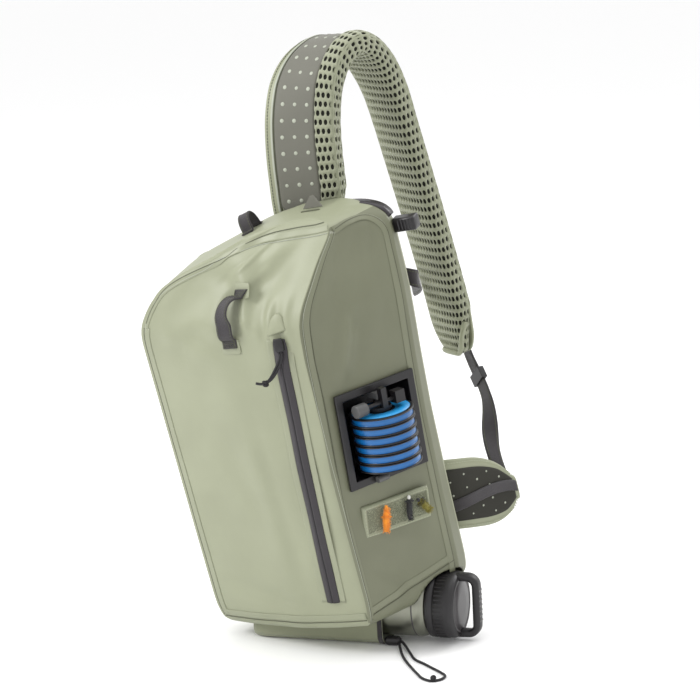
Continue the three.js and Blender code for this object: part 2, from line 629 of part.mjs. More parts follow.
// Back panel: a padded board on the bag's back
function roundedSlab(width, height, thick, radius) {
  const shape = new THREE.Shape();
  const w = width / 2 - radius;
  const h = height / 2 - radius;
  [[w, h, 0], [-w, h, 90], [-w, -h, 180], [w, -h, 270]].forEach(([x, y, from]) => {
    for (let i = 0; i <= 4; i += 1) {
      const angle = rad(from + 90 * (i / 4));
      const px = x + Math.cos(angle) * radius;
      const py = y + Math.sin(angle) * radius;
      if (shape.curves.length === 0 && shape.currentPoint.x === 0 && shape.currentPoint.y === 0) shape.moveTo(px, py);
      else shape.lineTo(px, py);
    }
  });
  return new THREE.ExtrudeGeometry(shape, { depth: thick, bevelEnabled: false });
}
const backPad = roundedSlab(BACK_PAD_WIDTH, BACK_PAD_HEIGHT, BACK_PAD, 30);
backPad.rotateX(rad(90));
backPad.translate(0, HALF_DEPTH + GAP + BACK_PAD, BACK_PAD_HEIGHT / 2 + 36);
named('back_panel', backPad, SAGE_MESH, bag);

// Arch strap: an outer shell and an inner pad, swept along one path in a turned upright plane
const BACK_FACE = HALF_DEPTH + GAP + BACK_PAD + GAP;
const STRAP_BASE = V3(STRAP_X, BACK_FACE + STRAP_SHELL, 0);
const spanWay = V3(Math.cos(rad(STRAP_ANGLE)), Math.sin(rad(STRAP_ANGLE)), 0);

function strapPlace(span, z, waySpan, wayUp, twist) {
  const flat = V3(0, 1, 0).multiplyScalar(1 - twist).addScaledVector(spanWay, twist).normalize();
  const way = spanWay.clone().multiplyScalar(waySpan).setZ(wayUp).normalize();
  const right = V3(flat.y, -flat.x, 0);
  right.addScaledVector(way, -right.dot(way)).normalize();
  const middle = STRAP_BASE.clone().addScaledVector(spanWay, span).setZ(z);
  return { middle, right, out: right.clone().cross(way).normalize() };
}

// The strap's own path: span along its plane, height, and how far its width has turned towards that plane
const STRAP_ROWS = [
  { span: 0, up: STRAP_FOOT, twist: 0 }, { span: 0, up: 355, twist: 0 }, { span: 0, up: 390, twist: 0 },
  { span: 3, up: 412, twist: 0 }, { span: 7, up: 435, twist: 0 }, { span: 12, up: 458, twist: 0.05 },
  { span: 20, up: 483, twist: 0.12 }, { span: 33, up: 508, twist: 0.25 }, { span: 50, up: 525, twist: 0.45 },
  { span: 70, up: 535, twist: 0.7 }, { span: 93, up: 537, twist: 0.95 }, { span: 113, up: 525, twist: 1.15 },
  { span: 128, up: 502, twist: 1.3 }, { span: 137, up: 471, twist: 1.45 }, { span: 140, up: 440, twist: 1.54 },
];
const LEG_STEPS = 6;
const STRAP_STEPS = 40;
const TWIST_REACH = 20;

function strapPlaces() {
  const rows = [...STRAP_ROWS];
  const last = STRAP_ROWS[STRAP_ROWS.length - 1];
  for (let i = 1; i <= LEG_STEPS; i += 1) {
    const t = i / LEG_STEPS;
    rows.push({
      span: last.span + STRAP_DRIFT * Math.sin((t * Math.PI) / 2), up: lerp(last.up, STRAP_END, t), twist: last.twist,
    });
  }
  const curve = new THREE.CatmullRomCurve3(rows.map((row) => V3(row.span, row.up, row.twist * TWIST_REACH)));
  const places = [];
  for (let i = 0; i <= STRAP_STEPS; i += 1) {
    const spot = curve.getPointAt(i / STRAP_STEPS);
    const way = curve.getTangentAt(i / STRAP_STEPS);
    places.push(strapPlace(spot.x, spot.y, way.x, way.y, spot.z / TWIST_REACH));
  }
  return places;
}
const strapWay = strapPlaces();

// A rounded pad section under the shell, and the shell over it
function padRing(place, width, thick, low) {
  const ring = [];
  const steps = 14;
  for (let i = 0; i < steps; i += 1) {
    const angle = (2 * Math.PI * i) / steps;
    const c = Math.cos(angle);
    const s = Math.sin(angle);
    const side = Math.sign(c) * Math.abs(c) ** 0.6 * (width / 2);
    const rise = Math.sign(s) * Math.abs(s) ** 0.7 * (thick / 2);
    ring.push(place.middle.clone().addScaledVector(place.right, side)
      .addScaledVector(place.out, low - thick / 2 + rise));
  }
  return ring;
}
const strapShell = strapWay.map((place, i) => {
  const end = i === strapWay.length - 1 ? 0.8 : 1;
  return bandRing(place, STRAP_WIDTH * end, STRAP_SHELL, 0);
});
named('strap_shell', loft(strapShell), SAGE, bag);
const PAD_GAP = 1.05;
const padStart = 5;
const strapPad = strapWay.slice(padStart).map((place, i, all) => {
  const taper = i === 0 ? 0.55 : i === all.length - 1 ? 0.7 : 1;
  const thick = STRAP_PAD * lerp(1.15, 0.8, i / all.length) * taper;
  return padRing(place, (STRAP_WIDTH - 6) * (i === all.length - 1 ? 0.75 : 1), thick, -PAD_GAP);
});
named('strap_pad', loft(strapPad), SAGE_MESH, bag);

// Hip wing behind the lower right of the bag
const WING_ROOT = V3(86, BACK_FACE + WING_THICK / 2, 75);
const wingWay = V3(0.52, 0.854, -0.32);
function wingPlace(t) {
  const start = V3(1, 0.02, -0.05);
  const steps = 12;
  const middle = WING_ROOT.clone();
  const way = V3(0, 0, 0);
  for (let k = 0; k < steps; k += 1) {
    way.copy(start).lerp(wingWay, THREE.MathUtils.smoothstep((t * (k + 0.5)) / steps, 0, 0.45)).normalize();
    middle.addScaledVector(way, (t * WING_REACH) / steps);
  }
  return { middle, way, out: V3(way.y, -way.x, 0).normalize() };
}

function wingRing(t) {
  const place = wingPlace(t);
  const tall = WING_HEIGHT * Math.sqrt(Math.max(0.12, 1 - Math.max(0, (t - 0.45) / 0.55) ** 2.2));
  const ring = [];
  for (let i = 0; i < 12; i += 1) {
    const angle = (2 * Math.PI * i) / 12;
    const rise = Math.sign(Math.sin(angle)) * Math.abs(Math.sin(angle)) ** 0.6;
    const side = Math.sign(Math.cos(angle)) * Math.abs(Math.cos(angle)) ** 0.6;
    ring.push(place.middle.clone().add(V3(0, 0, (rise * tall) / 2)).addScaledVector(place.out, (side * WING_THICK) / 2));
  }
  return ring;
}
const wingRings = [];
for (let i = 0; i <= 10; i += 1) wingRings.push(wingRing(i / 10));
named('hip_wing', loft(wingRings), SAGE, bag);

// Strap webbing from the pad's end through its keeper to the wing's tip
const strapEnd = strapWay[strapWay.length - 1];
const wingTip = wingPlace(0.93);
const webbingStart = strapEnd.middle.clone().addScaledVector(strapEnd.out, STRAP_SHELL + WEBBING_THICK / 2 + 2 * GAP).setZ(STRAP_END + 22);
const webbingEnd = wingTip.middle.clone().addScaledVector(wingTip.out, -WING_THICK / 2 - WEBBING_THICK - 4 * GAP);

function webbing(points, right, rightEnd, width, thick) {
  const curve = new THREE.CatmullRomCurve3(points);
  const rings = [];
  for (let i = 0; i <= 14; i += 1) {
    const way = curve.getTangentAt(i / 14);
    const middle = curve.getPointAt(i / 14);
    const side = right.clone().lerp(rightEnd, THREE.MathUtils.smoothstep(i / 14, 0.4, 0.9));
    const flat = side.addScaledVector(way, -side.dot(way)).normalize();
    rings.push(bandRing({ middle, right: flat, out: way.clone().cross(flat).normalize() }, width, thick, -thick / 2));
  }
  return loft(rings);
}
const drop = webbingEnd.clone().sub(webbingStart);
const webbingPoints = [
  webbingStart,
  webbingStart.clone().addScaledVector(strapEnd.out, 3).add(V3(0, 0, -30)),
  webbingStart.clone().addScaledVector(drop, 0.45).add(V3(4, 9, 0)),
  webbingEnd.clone().addScaledVector(wingTip.out, -5).add(V3(0, 0, 42)),
  webbingEnd,
];
named('strap_webbing', webbing(webbingPoints, strapEnd.right, wingTip.way, WEBBING_WIDTH, WEBBING_THICK), CHARCOAL, bag);

// Sleeve: a fabric pocket with an open mouth on the right
function makeSleeve() {
  const right = SLEEVE_LEFT + SLEEVE_LENGTH;
  const tapers = [[0, 0.66], [2, 0.80], [6, 0.91], [12, 0.975], [20, 1]];
  const outer = tapers.map(([x, share]) => flatRing(SLEEVE_LEFT + x, 0, share));
  outer.push(flatRing(right, 0, 1));
  const inner = tapers.map(([x, share]) => flatRing(SLEEVE_LEFT + x + SLEEVE_WALL, -SLEEVE_WALL, share));
  inner.push(flatRing(right + 10, -SLEEVE_WALL, 1));
  return surface(solid(loft(outer)).subtract(solid(loft(inner))));
}

// A closed end tapers towards the flat base, so that the base stays on the ground
function flatRing(x, grow, share) {
  return sleeveSection(grow).map(([y, z]) => {
    const low = -grow;
    return V3(x, SLEEVE_Y + y * share, low + (z - low) * share);
  });
}
named('bottle_sleeve', makeSleeve(), SAGE, part);

// Bottle: a hollow flask lying along X, with a lid and a carry handle on its end
const BOTTLE_LEFT = SLEEVE_LEFT + 24;
const BOTTLE_Z = SLEEVE_RADIUS;
const LID_X = BOTTLE_LEFT + BOTTLE_LENGTH + GAP;

function turned(profile, sides) {
  const geometry = new THREE.LatheGeometry(profile.map(([r, x]) => new THREE.Vector2(r, x)), sides);
  geometry.rotateZ(rad(-90));
  return geometry;
}

function makeBottle() {
  const inside = BOTTLE_RADIUS - BOTTLE_WALL;
  const profile = [
    [0, 0], [BOTTLE_RADIUS - 10, 0], [BOTTLE_RADIUS - 2, 4], [BOTTLE_RADIUS, 14], [BOTTLE_RADIUS, BOTTLE_LENGTH - 8],
    [BOTTLE_RADIUS - 3, BOTTLE_LENGTH], [inside - 3, BOTTLE_LENGTH], [inside, BOTTLE_LENGTH - 10],
    [inside, 16], [inside - 2, 8], [0, 4],
  ];
  return at(turned(profile, 28), BOTTLE_LEFT, SLEEVE_Y, BOTTLE_Z);
}
named('bottle_body', makeBottle(), STEEL, part);

function makeLid() {
  const disc = at(turned([
    [0, 0], [BOTTLE_RADIUS - 2, 0], [BOTTLE_RADIUS, 2], [BOTTLE_RADIUS, LID_LENGTH - 3],
    [BOTTLE_RADIUS - 3, LID_LENGTH], [0, LID_LENGTH],
  ], 28), LID_X, SLEEVE_Y, BOTTLE_Z);
  const ring = roundedSlab(HANDLE_REACH * 2, 2 * BOTTLE_RADIUS, 13, 11);
  const hole = roundedSlab(HANDLE_REACH * 2 - 16, 2 * BOTTLE_RADIUS - 18, 40, 7);
  hole.translate(0, 0, -10);
  const turn = new THREE.Matrix4().makeRotationX(rad(90));
  const place = new THREE.Matrix4().makeTranslation(LID_X + LID_LENGTH, SLEEVE_Y + 6.5, BOTTLE_Z).multiply(turn);
  const loop = solid(ring, place).subtract(solid(hole, place));
  const keep = solid(at(box(HANDLE_REACH * 3, 60, 90), LID_X + LID_LENGTH + HANDLE_REACH * 1.5 - 2, SLEEVE_Y, BOTTLE_Z));
  return surface(solid(disc).add(loop.intersect(keep)));
}
named('bottle_lid', makeLid(), LID, part);

// Drawcord of the sleeve's mouth, with its lock, lying on the ground in front of the bottle
const CORD_Z = CORD_RADIUS;
const LOCK_X = SLEEVE_LEFT + SLEEVE_LENGTH + 9 + GAP;
const LOCK_Y = SLEEVE_Y - SLEEVE_FLAT / 2 - 5;
const lock = new THREE.CapsuleGeometry(5, 8, 3, 10);
lock.rotateZ(rad(90));
named('cord_lock', at(lock, LOCK_X, LOCK_Y, 5), BLACK, part);

function cord(name, points, parent, closed = false) {
  const curve = new THREE.CatmullRomCurve3(points, closed, 'centripetal');
  const section = new THREE.Shape();
  for (let i = 0; i < CORD_SIDES; i += 1) {
    const angle = (2 * Math.PI * i) / CORD_SIDES;
    const x = Math.cos(angle) * CORD_RADIUS;
    const y = Math.sin(angle) * CORD_RADIUS;
    if (i === 0) section.moveTo(x, y);
    else section.lineTo(x, y);
  }
  const steps = Math.min(80, Math.round(curve.getLength() / (5 * CORD_RADIUS)));
  const geometry = new THREE.ExtrudeGeometry(section, { steps, bevelEnabled: false, extrudePath: curve });
  return named(name, geometry, BLACK, parent);
}
const DRAWCORD = [
  [62.9, -3.3, 5.0], [70, -13, 3.4], [80, -29, 1.8], [90, -45, 1.4], [103, -56, 1.4], [115, -67, 1.4], [126, -77, 1.4],
  [134, -87, 1.4], [133, -97, 1.4], [125, -103, 1.4], [115, -98, 1.4], [105, -85, 1.4], [94, -69, 1.4],
  [83, -52, 1.4], [74, -36, 1.8], [66.5, -20, 3.4], [61.2, -7.4, 5.0],
];
cord('drawcord', DRAWCORD.map(([x, y, z]) => V3(x, y, z)), part);

// Pull cord of the front zip: a doubled cord from the slider down to a knot and a tail
const PULL = [
  [0.0, -8, 3.2], [-1, -12, 4.5], [-4, -17, 4.6], [-8, -22, 4.0], [-12, -27, 3.6], [-16, -31, 3.6],
];
const pullPoints = PULL.map(([side, along, lift]) => {
  return sliderPlace.middle.clone().addScaledVector(sliderPlace.right, side)
    .addScaledVector(sliderPlace.up, along).addScaledVector(sliderPlace.out, lift + 2);
});
cord('zip_pull_cord', pullPoints, bag);
const knotPlace = pullPoints[pullPoints.length - 1].clone().addScaledVector(sliderPlace.right, -4.2)
  .addScaledVector(sliderPlace.up, -2.5);
const knotBall = new THREE.SphereGeometry(4.4, 10, 7);
named('zip_pull_knot', at(knotBall, knotPlace.x, knotPlace.y, knotPlace.z), BLACK, bag);

// Keeper on the strap webbing, and a short stabilizer webbing from the bag's corner to the strap
const keeperCurve = new THREE.CatmullRomCurve3(webbingPoints);
function makeKeeper() {
  const way = keeperCurve.getTangentAt(0.30);
  const flat = strapEnd.right.clone().addScaledVector(way, -strapEnd.right.dot(way)).normalize();
  const out = way.clone().cross(flat).normalize();
  const middle = keeperCurve.getPointAt(0.30);
  const place = new THREE.Matrix4().makeBasis(way, flat, out).setPosition(middle);
  const shell = solid(box(13, WEBBING_WIDTH + 4.6, WEBBING_THICK + 5), place);
  return surface(shell.subtract(solid(box(40, WEBBING_WIDTH + 1.4, WEBBING_THICK + 1.4), place)));
}
named('webbing_keeper', makeKeeper(), BLACK, bag);

const farLeg = strapWay[Math.round(STRAP_STEPS * 0.75)];
const stabilizerStart = V3(HALF_WIDTH * 0.86, HALF_DEPTH + 2.2, 0.79 * HEIGHT);
const stabilizerEnd = farLeg.middle.clone().addScaledVector(farLeg.right, -STRAP_WIDTH * 0.30)
  .addScaledVector(farLeg.out, -STRAP_PAD - 3.5).setZ(0.66 * HEIGHT);
const stabilizerPoints = [
  stabilizerStart,
  stabilizerStart.clone().add(V3(20, 1.5, -9)),
  stabilizerStart.clone().lerp(stabilizerEnd, 0.55).add(V3(9, -6, -10)),
  stabilizerEnd,
];
named('stabilizer_webbing', webbing(stabilizerPoints, V3(0, 0, 1), V3(0, 0, 1), WEBBING_WIDTH, WEBBING_THICK), CHARCOAL, bag);

// The origin lies under the middle of everything but the cords and what is on them
const ON_CORDS = ['drawcord', 'cord_lock', 'zip_pull_cord', 'zip_pull_knot'];
part.updateMatrixWorld(true);
const bounds = new THREE.Box3();
part.traverse((mesh) => {
  if (mesh.isMesh && !ON_CORDS.includes(mesh.name)) bounds.expandByObject(mesh, true);
});
part.position.set(-(bounds.min.x + bounds.max.x) / 2, -(bounds.min.y + bounds.max.y) / 2, -bounds.min.z);

export default part;
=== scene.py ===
# The looks of a fishing tackle sling bag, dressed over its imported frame. Metres, +Z up.
import json
import math

import bmesh
import bpy
import numpy as np
from mathutils import Matrix, Vector

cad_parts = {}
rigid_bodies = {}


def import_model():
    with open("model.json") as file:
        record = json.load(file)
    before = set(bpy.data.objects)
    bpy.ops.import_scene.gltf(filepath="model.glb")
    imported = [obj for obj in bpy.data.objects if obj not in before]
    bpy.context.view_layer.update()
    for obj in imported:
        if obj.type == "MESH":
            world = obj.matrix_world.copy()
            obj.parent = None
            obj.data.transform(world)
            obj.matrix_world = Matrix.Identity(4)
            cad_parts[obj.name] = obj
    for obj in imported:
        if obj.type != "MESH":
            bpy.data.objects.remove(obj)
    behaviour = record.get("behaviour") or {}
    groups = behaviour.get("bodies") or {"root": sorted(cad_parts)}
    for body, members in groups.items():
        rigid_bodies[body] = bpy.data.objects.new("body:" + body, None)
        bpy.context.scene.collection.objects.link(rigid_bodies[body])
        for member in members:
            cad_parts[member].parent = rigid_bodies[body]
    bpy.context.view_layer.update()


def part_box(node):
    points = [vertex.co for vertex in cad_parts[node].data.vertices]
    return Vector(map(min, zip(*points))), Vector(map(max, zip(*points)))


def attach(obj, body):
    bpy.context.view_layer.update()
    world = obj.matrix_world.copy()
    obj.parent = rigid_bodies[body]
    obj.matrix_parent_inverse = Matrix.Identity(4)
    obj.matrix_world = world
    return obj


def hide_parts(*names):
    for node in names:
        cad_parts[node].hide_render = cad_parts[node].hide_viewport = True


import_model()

MM = 0.001
BODY = "bag"
SPOOLS = "spool_stack"

# Sizes of the bag, as in its frame, in millimetres
HEIGHT = 400.0
HALF_WIDTH = 131.0
HALF_DEPTH = 75.0
WALL = 2.4
LEAN_SIDE = -8.8
LEAN_FRONT = 8.4
BASE_LIFT = 34.0
BACK_PAD = 9.0
STRAP_WIDTH = 74.0
STRAP_PAD = 18.0
STRAP_SHELL = 3.0
STRAP_ANGLE = 63.0
STRAP_X = 37.0
STRAP_FOOT = 318.0
STRAP_END = 180.0
STRAP_DRIFT = 10.0
SLEEVE_LEFT = -98.0
SLEEVE_LENGTH = 142.0
SLEEVE_Y = 28.0
SLEEVE_RADIUS = 36.5
SLEEVE_FLAT = 50.0
SLEEVE_WALL = 2.4
BOTTLE_RADIUS = 33.5
BOTTLE_LENGTH = 161.0
LID_LENGTH = 30.0
HANDLE_REACH = 20.0
PORT_UP = 186.0
PORT_ACROSS = 0.52
PORT_TILT = -4.0
PORT_WIDTH = 95.0
PORT_HEIGHT = 97.0
SPOOL_THICK = 9.0

# Frames: the row's own, and the leaning bag's
sleeve_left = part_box("bottle_sleeve")[0][0] / MM
bottle_low, bottle_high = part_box("bottle_body")
bottle_middle = (bottle_low[1] + bottle_high[1]) / (2 * MM)
SHIFT = Vector((sleeve_left - SLEEVE_LEFT, bottle_middle - SLEEVE_Y, 0))
ROW = Matrix.Translation(SHIFT)
BAG = (
    Matrix.Translation(SHIFT + Vector((0, 0, BASE_LIFT)))
    @ Matrix.Rotation(math.radians(LEAN_FRONT), 4, "X")
    @ Matrix.Rotation(math.radians(LEAN_SIDE), 4, "Y")
)


def unit(v):
    v = np.asarray(v, dtype=float)
    return v / np.linalg.norm(v, axis=-1, keepdims=True)


def smoothstep(t, low=0.0, high=1.0):
    t = np.clip((t - low) / (high - low), 0, 1)
    return t * t * (3 - 2 * t)


# Camera at the photograph's angle, and soft studio light
CAMERA_AZIMUTH = 20.0
CAMERA_ELEVATION = 12.0
CAMERA_ROLL = 3.0
CAMERA_DISTANCE = 2800.0
PHOTO_SIZE = 700.0
BASE_PX = (342.0, 609.0)
PX_PER_MM = 1.0


def make_camera():
    azimuth = math.radians(CAMERA_AZIMUTH)
    elevation = math.radians(CAMERA_ELEVATION)
    roll = math.radians(CAMERA_ROLL)
    right = Vector((math.cos(azimuth), math.sin(azimuth), 0))
    back = Vector((math.sin(azimuth) * math.cos(elevation), -math.cos(azimuth) * math.cos(elevation),
                   math.sin(elevation)))
    up = back.cross(right)
    x_axis = right * math.cos(roll) - up * math.sin(roll)
    y_axis = right * math.sin(roll) + up * math.cos(roll)
    base = SHIFT + Vector((0, 0, BASE_LIFT))
    half = PHOTO_SIZE / 2
    target = base + (x_axis * (half - BASE_PX[0]) + y_axis * (BASE_PX[1] - half)) / PX_PER_MM
    data = bpy.data.cameras.new("camera")
    data.sensor_width = 36.0
    data.lens = data.sensor_width * CAMERA_DISTANCE / (PHOTO_SIZE / PX_PER_MM)
    data.clip_end = 30
    camera = bpy.data.objects.new("camera", data)
    turn = Matrix((x_axis, y_axis, back)).transposed().to_4x4()
    camera.matrix_world = Matrix.Translation((target + back * CAMERA_DISTANCE) * MM) @ turn
    bpy.context.scene.collection.objects.link(camera)
    bpy.context.scene.camera = camera


def area_light(name, place, target, size, power, colour=(1, 1, 1)):
    data = bpy.data.lights.new(name, "AREA")
    data.shape = "SQUARE"
    data.size = size
    data.energy = power
    data.color = colour
    light = bpy.data.objects.new(name, data)
    light.location = place
    light.rotation_euler = (Vector(target) - Vector(place)).to_track_quat("-Z", "Y").to_euler()
    bpy.context.scene.collection.objects.link(light)


def make_studio():
    area_light("key", (-1.7, -1.3, 1.8), (0, 0, 0.3), 0.9, 34)
    area_light("fill", (1.9, -1.6, 0.9), (0, 0, 0.3), 1.6, 2)
    area_light("rim", (1.1, 1.6, 1.5), (0, 0, 0.35), 0.9, 16)
    area_light("top", (0.0, 0.0, 2.3), (0, 0, 0), 1.8, 14)
    bpy.context.scene.view_settings.view_transform = "Standard"
    world = bpy.data.worlds.new("studio")
    bpy.context.scene.world = world
    world.use_nodes = True
    background = world.node_tree.nodes["Background"]
    background.inputs["Color"].default_value = (1, 1, 1, 1)
    background.inputs["Strength"].default_value = 1.0
    mesh = bpy.data.meshes.new("floor")
    side = 14.0
    mesh.from_pydata([(-side, -side, 0), (side, -side, 0), (side, side, 0), (-side, side, 0)], [],
                     [(0, 1, 2, 3)])
    floor = bpy.data.objects.new("floor", mesh)
    bpy.context.scene.collection.objects.link(floor)
    paint = bpy.data.materials.new("floor_paint")
    paint.use_nodes = True
    shader = paint.node_tree.nodes["Principled BSDF"]
    shader.inputs["Base Color"].default_value = (0.97, 0.97, 0.97, 1)
    shader.inputs["Roughness"].default_value = 0.7
    mesh.materials.append(paint)


make_camera()
make_studio()


# Materials: each is a small node network on Object coordinates
def shade(name, colour, rough, metal=0.0, grain=None, bump=None, weave=None, tint=0.0, sheen=0.0,
          coat=0.0):
    """grain and bump are (scale, strength), weave is (threads, strength), and tint mottles the colour."""
    paint = bpy.data.materials.new(name)
    paint.use_nodes = True
    nodes = paint.node_tree.nodes
    links = paint.node_tree.links
    shader = nodes["Principled BSDF"]
    shader.inputs["Base Color"].default_value = (*colour, 1)
    shader.inputs["Roughness"].default_value = rough
    shader.inputs["Metallic"].default_value = metal
    shader.inputs["Sheen Weight"].default_value = sheen
    shader.inputs["Coat Weight"].default_value = coat
    place = nodes.new("ShaderNodeTexCoord").outputs["Object"]
    if tint:
        cloud = nodes.new("ShaderNodeTexNoise")
        cloud.inputs["Scale"].default_value = 14.0
        cloud.inputs["Detail"].default_value = 5.0
        ramp = nodes.new("ShaderNodeValToRGB")
        ramp.color_ramp.elements[0].position = 0.3
        ramp.color_ramp.elements[1].position = 0.7
        ramp.color_ramp.elements[0].color = (*[c * (1 - tint) for c in colour], 1)
        ramp.color_ramp.elements[1].color = (*[min(1, c * (1 + tint)) for c in colour], 1)
        links.new(place, cloud.inputs["Vector"])
        links.new(cloud.outputs["Fac"], ramp.inputs["Fac"])
        links.new(ramp.outputs["Color"], shader.inputs["Base Color"])
    heights = []
    for pair in (grain, bump):
        if pair:
            noise = nodes.new("ShaderNodeTexNoise")
            noise.inputs["Scale"].default_value = pair[0]
            noise.inputs["Detail"].default_value = 3.0
            links.new(place, noise.inputs["Vector"])
            heights.append((noise.outputs["Fac"], pair[1]))
    if weave:
        for way in ("X", "Z"):
            wave = nodes.new("ShaderNodeTexWave")
            wave.bands_direction = way
            wave.inputs["Scale"].default_value = weave[0]
            wave.inputs["Distortion"].default_value = 0.4
            links.new(place, wave.inputs["Vector"])
            heights.append((wave.outputs["Fac"], weave[1]))
    normal = None
    for height, strength in heights:
        relief = nodes.new("ShaderNodeBump")
        relief.inputs["Strength"].default_value = strength
        relief.inputs["Distance"].default_value = 0.0006
        links.new(height, relief.inputs["Height"])
        if normal:
            links.new(normal, relief.inputs["Normal"])
        normal = relief.outputs["Normal"]
    if normal:
        links.new(normal, shader.inputs["Normal"])
    return paint


SAGE = shade("sage_coated", (0.275, 0.29, 0.195), 0.46, grain=(900, 0.12), bump=(60, 0.10), tint=0.05)
# The same sage darkened as painted shade, for the side panel and gusset that face away from the key light
SHADED_SAGE = shade("sage_coated_painted_shade", (0.150, 0.157, 0.100), 0.5, grain=(900, 0.12), bump=(60, 0.10),
                  tint=0.06)
TAPE = shade("weld_tape", (0.265, 0.28, 0.19), 0.42, grain=(700, 0.10), tint=0.04)
# The weld tape darkened as painted shade, for the tapes on the side panel
SHADED_TAPE = shade("weld_tape_painted_shade", (0.170, 0.178, 0.115), 0.42, grain=(700, 0.10), tint=0.04)
SEAM = shade("seam_line", (0.085, 0.09, 0.055), 0.6, grain=(900, 0.2))
SLEEVE = shade("sleeve_knit", (0.235, 0.247, 0.165), 0.85, grain=(1500, 0.5), tint=0.07, sheen=0.2)
MESH = shade("spacer_net", (0.27, 0.283, 0.195), 0.8, grain=(1800, 0.5), tint=0.08, sheen=0.25)
# Near black standing for the shade inside mesh holes: painted shade
HOLE_SHADE = shade("spacer_hole_painted_shade", (0.012, 0.012, 0.008), 0.95, grain=(900, 0.4))
PANEL = shade("gray_panel", (0.125, 0.123, 0.100), 0.7, grain=(1600, 0.45), tint=0.07, sheen=0.1)
BRIGHT = shade("perforation", (0.36, 0.38, 0.31), 0.6, grain=(1200, 0.2))
WEBBING = shade("charcoal_webbing", (0.024, 0.019, 0.023), 0.5, weave=(420, 0.5), grain=(1400, 0.3),
                tint=0.15, sheen=0.15)
ZIP = shade("zip_rubber", (0.020, 0.016, 0.020), 0.36, grain=(700, 0.15), tint=0.12)
ZIP_LINE = shade("zip_line", (0.012, 0.011, 0.013), 0.5, grain=(900, 0.2))
BLACK = shade("black_plastic", (0.009, 0.008, 0.009), 0.38, grain=(1100, 0.14), tint=0.15)
GRAY = shade("gray_plastic", (0.085, 0.085, 0.085), 0.42, grain=(900, 0.14), tint=0.1)
CORD = shade("braided_cord", (0.022, 0.020, 0.023), 0.6, weave=(900, 0.7), grain=(1800, 0.4), tint=0.2)
BLUE = shade("spool_blue", (0.003, 0.125, 0.38), 0.35, grain=(500, 0.08), tint=0.25, coat=0.2)
FLANGE = shade("spool_black", (0.008, 0.008, 0.010), 0.35, grain=(800, 0.1), tint=0.1)
FELT = shade("patch_felt", (0.15, 0.16, 0.10), 0.98, grain=(1300, 0.9), bump=(260, 0.5), tint=0.16,
             sheen=0.5)
STITCH = shade("stitch_thread", (0.36, 0.38, 0.27), 0.7, grain=(2500, 0.4))
STEEL = shade("brushed_steel", (0.24, 0.245, 0.20), 0.3, metal=0.9, grain=(600, 0.06), tint=0.05)
LID = shade("lid_plastic", (0.010, 0.009, 0.010), 0.45, grain=(1200, 0.2), tint=0.08)
LID_DISC = shade("lid_disc", (0.050, 0.046, 0.048), 0.38, grain=(1200, 0.12), tint=0.05)
ORANGE = shade("orange_fibre", (0.85, 0.29, 0.01), 0.7, tint=0.25, sheen=0.4)
OLIVE = shade("olive_fibre", (0.19, 0.165, 0.015), 0.7, tint=0.3, sheen=0.3)
DARK = shade("black_fibre", (0.012, 0.012, 0.013), 0.6, tint=0.2, sheen=0.2)
LABEL = shade("spool_label", (0.02, 0.30, 0.66), 0.4, tint=0.08)
BEAD = shade("white_bead", (0.7, 0.7, 0.66), 0.3, tint=0.05)


# Mesh making
def lengths_along(path):
    """Length of the path up to each of its points."""
    return np.concatenate([[0], np.cumsum(np.linalg.norm(np.diff(path, axis=0), axis=1))])


def squared(value, power):
    """A cosine or sine with its sign kept and its power changed, for rings with soft corners."""
    return math.copysign(abs(value) ** power, value)


def piece(name, points, faces, matrix, materials, smooth=True, body=BODY, face_paint=None, replaces=(),
          slot=None):
    """A finished piece: points in mm in the frame that matrix gives, with the object at the origin."""
    mesh = bpy.data.meshes.new(name)
    place = np.array(matrix)
    xyz = np.asarray(points, dtype=float) @ place[:3, :3].T + place[:3, 3]
    mesh.from_pydata((xyz * MM).tolist(), [], [tuple(int(i) for i in face) for face in faces])
    for paint in materials if isinstance(materials, (list, tuple)) else [materials]:
        mesh.materials.append(paint)
    if face_paint is not None:
        mesh.polygons.foreach_set("material_index", np.asarray(face_paint, dtype=np.int32))
    mesh.update()
    work = bmesh.new()
    work.from_mesh(mesh)
    bmesh.ops.remove_doubles(work, verts=work.verts, dist=1e-7)
    bmesh.ops.recalc_face_normals(work, faces=work.faces)
    work.to_mesh(mesh)
    work.free()
    mesh.polygons.foreach_set("use_smooth", [smooth] * len(mesh.polygons))
    obj = bpy.data.objects.new(name, mesh)
    bpy.context.scene.collection.objects.link(obj)
    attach(obj, body)
    if replaces:
        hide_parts(*replaces)
    return obj


def capped(points, count):
    """The points of rings of count each, and the middles of the first and the last ring."""
    points = np.asarray(points)
    return np.vstack([points, points[:count].mean(axis=0), points[-count:].mean(axis=0)])


def ring_faces(rings, count, closed=False):
    """Quads between rings of count points each, with a fan at each end unless closed."""
    faces = []
    for i in range(rings if closed else rings - 1):
        a = i * count
        b = ((i + 1) % rings) * count
        for j in range(count):
            k = (j + 1) % count
            faces.append((a + j, a + k, b + k, b + j))
    if not closed:
        first = rings * count
        last = (rings - 1) * count
        for j in range(count):
            k = (j + 1) % count
            faces.append((first, k, j))
            faces.append((first + 1, last + j, last + k))
    return faces


def sweep(name, places, section, materials, matrix=BAG, closed=False, face_paint=None, **more):
    """Carries a closed section of (side, out) points along places of (middle, right, out)."""
    rings = []
    for i, (middle, right, out) in enumerate(places):
        shape = section(i / (len(places) - 1)) if callable(section) else section
        rings.append([middle + right * a + out * b for a, b in shape])
    rings = np.array(rings)
    points = rings.reshape(-1, 3)
    if not closed:
        points = capped(points, rings.shape[1])
    faces = ring_faces(len(rings), rings.shape[1], closed)
    return piece(name, points, faces, matrix, materials, face_paint=face_paint, **more)


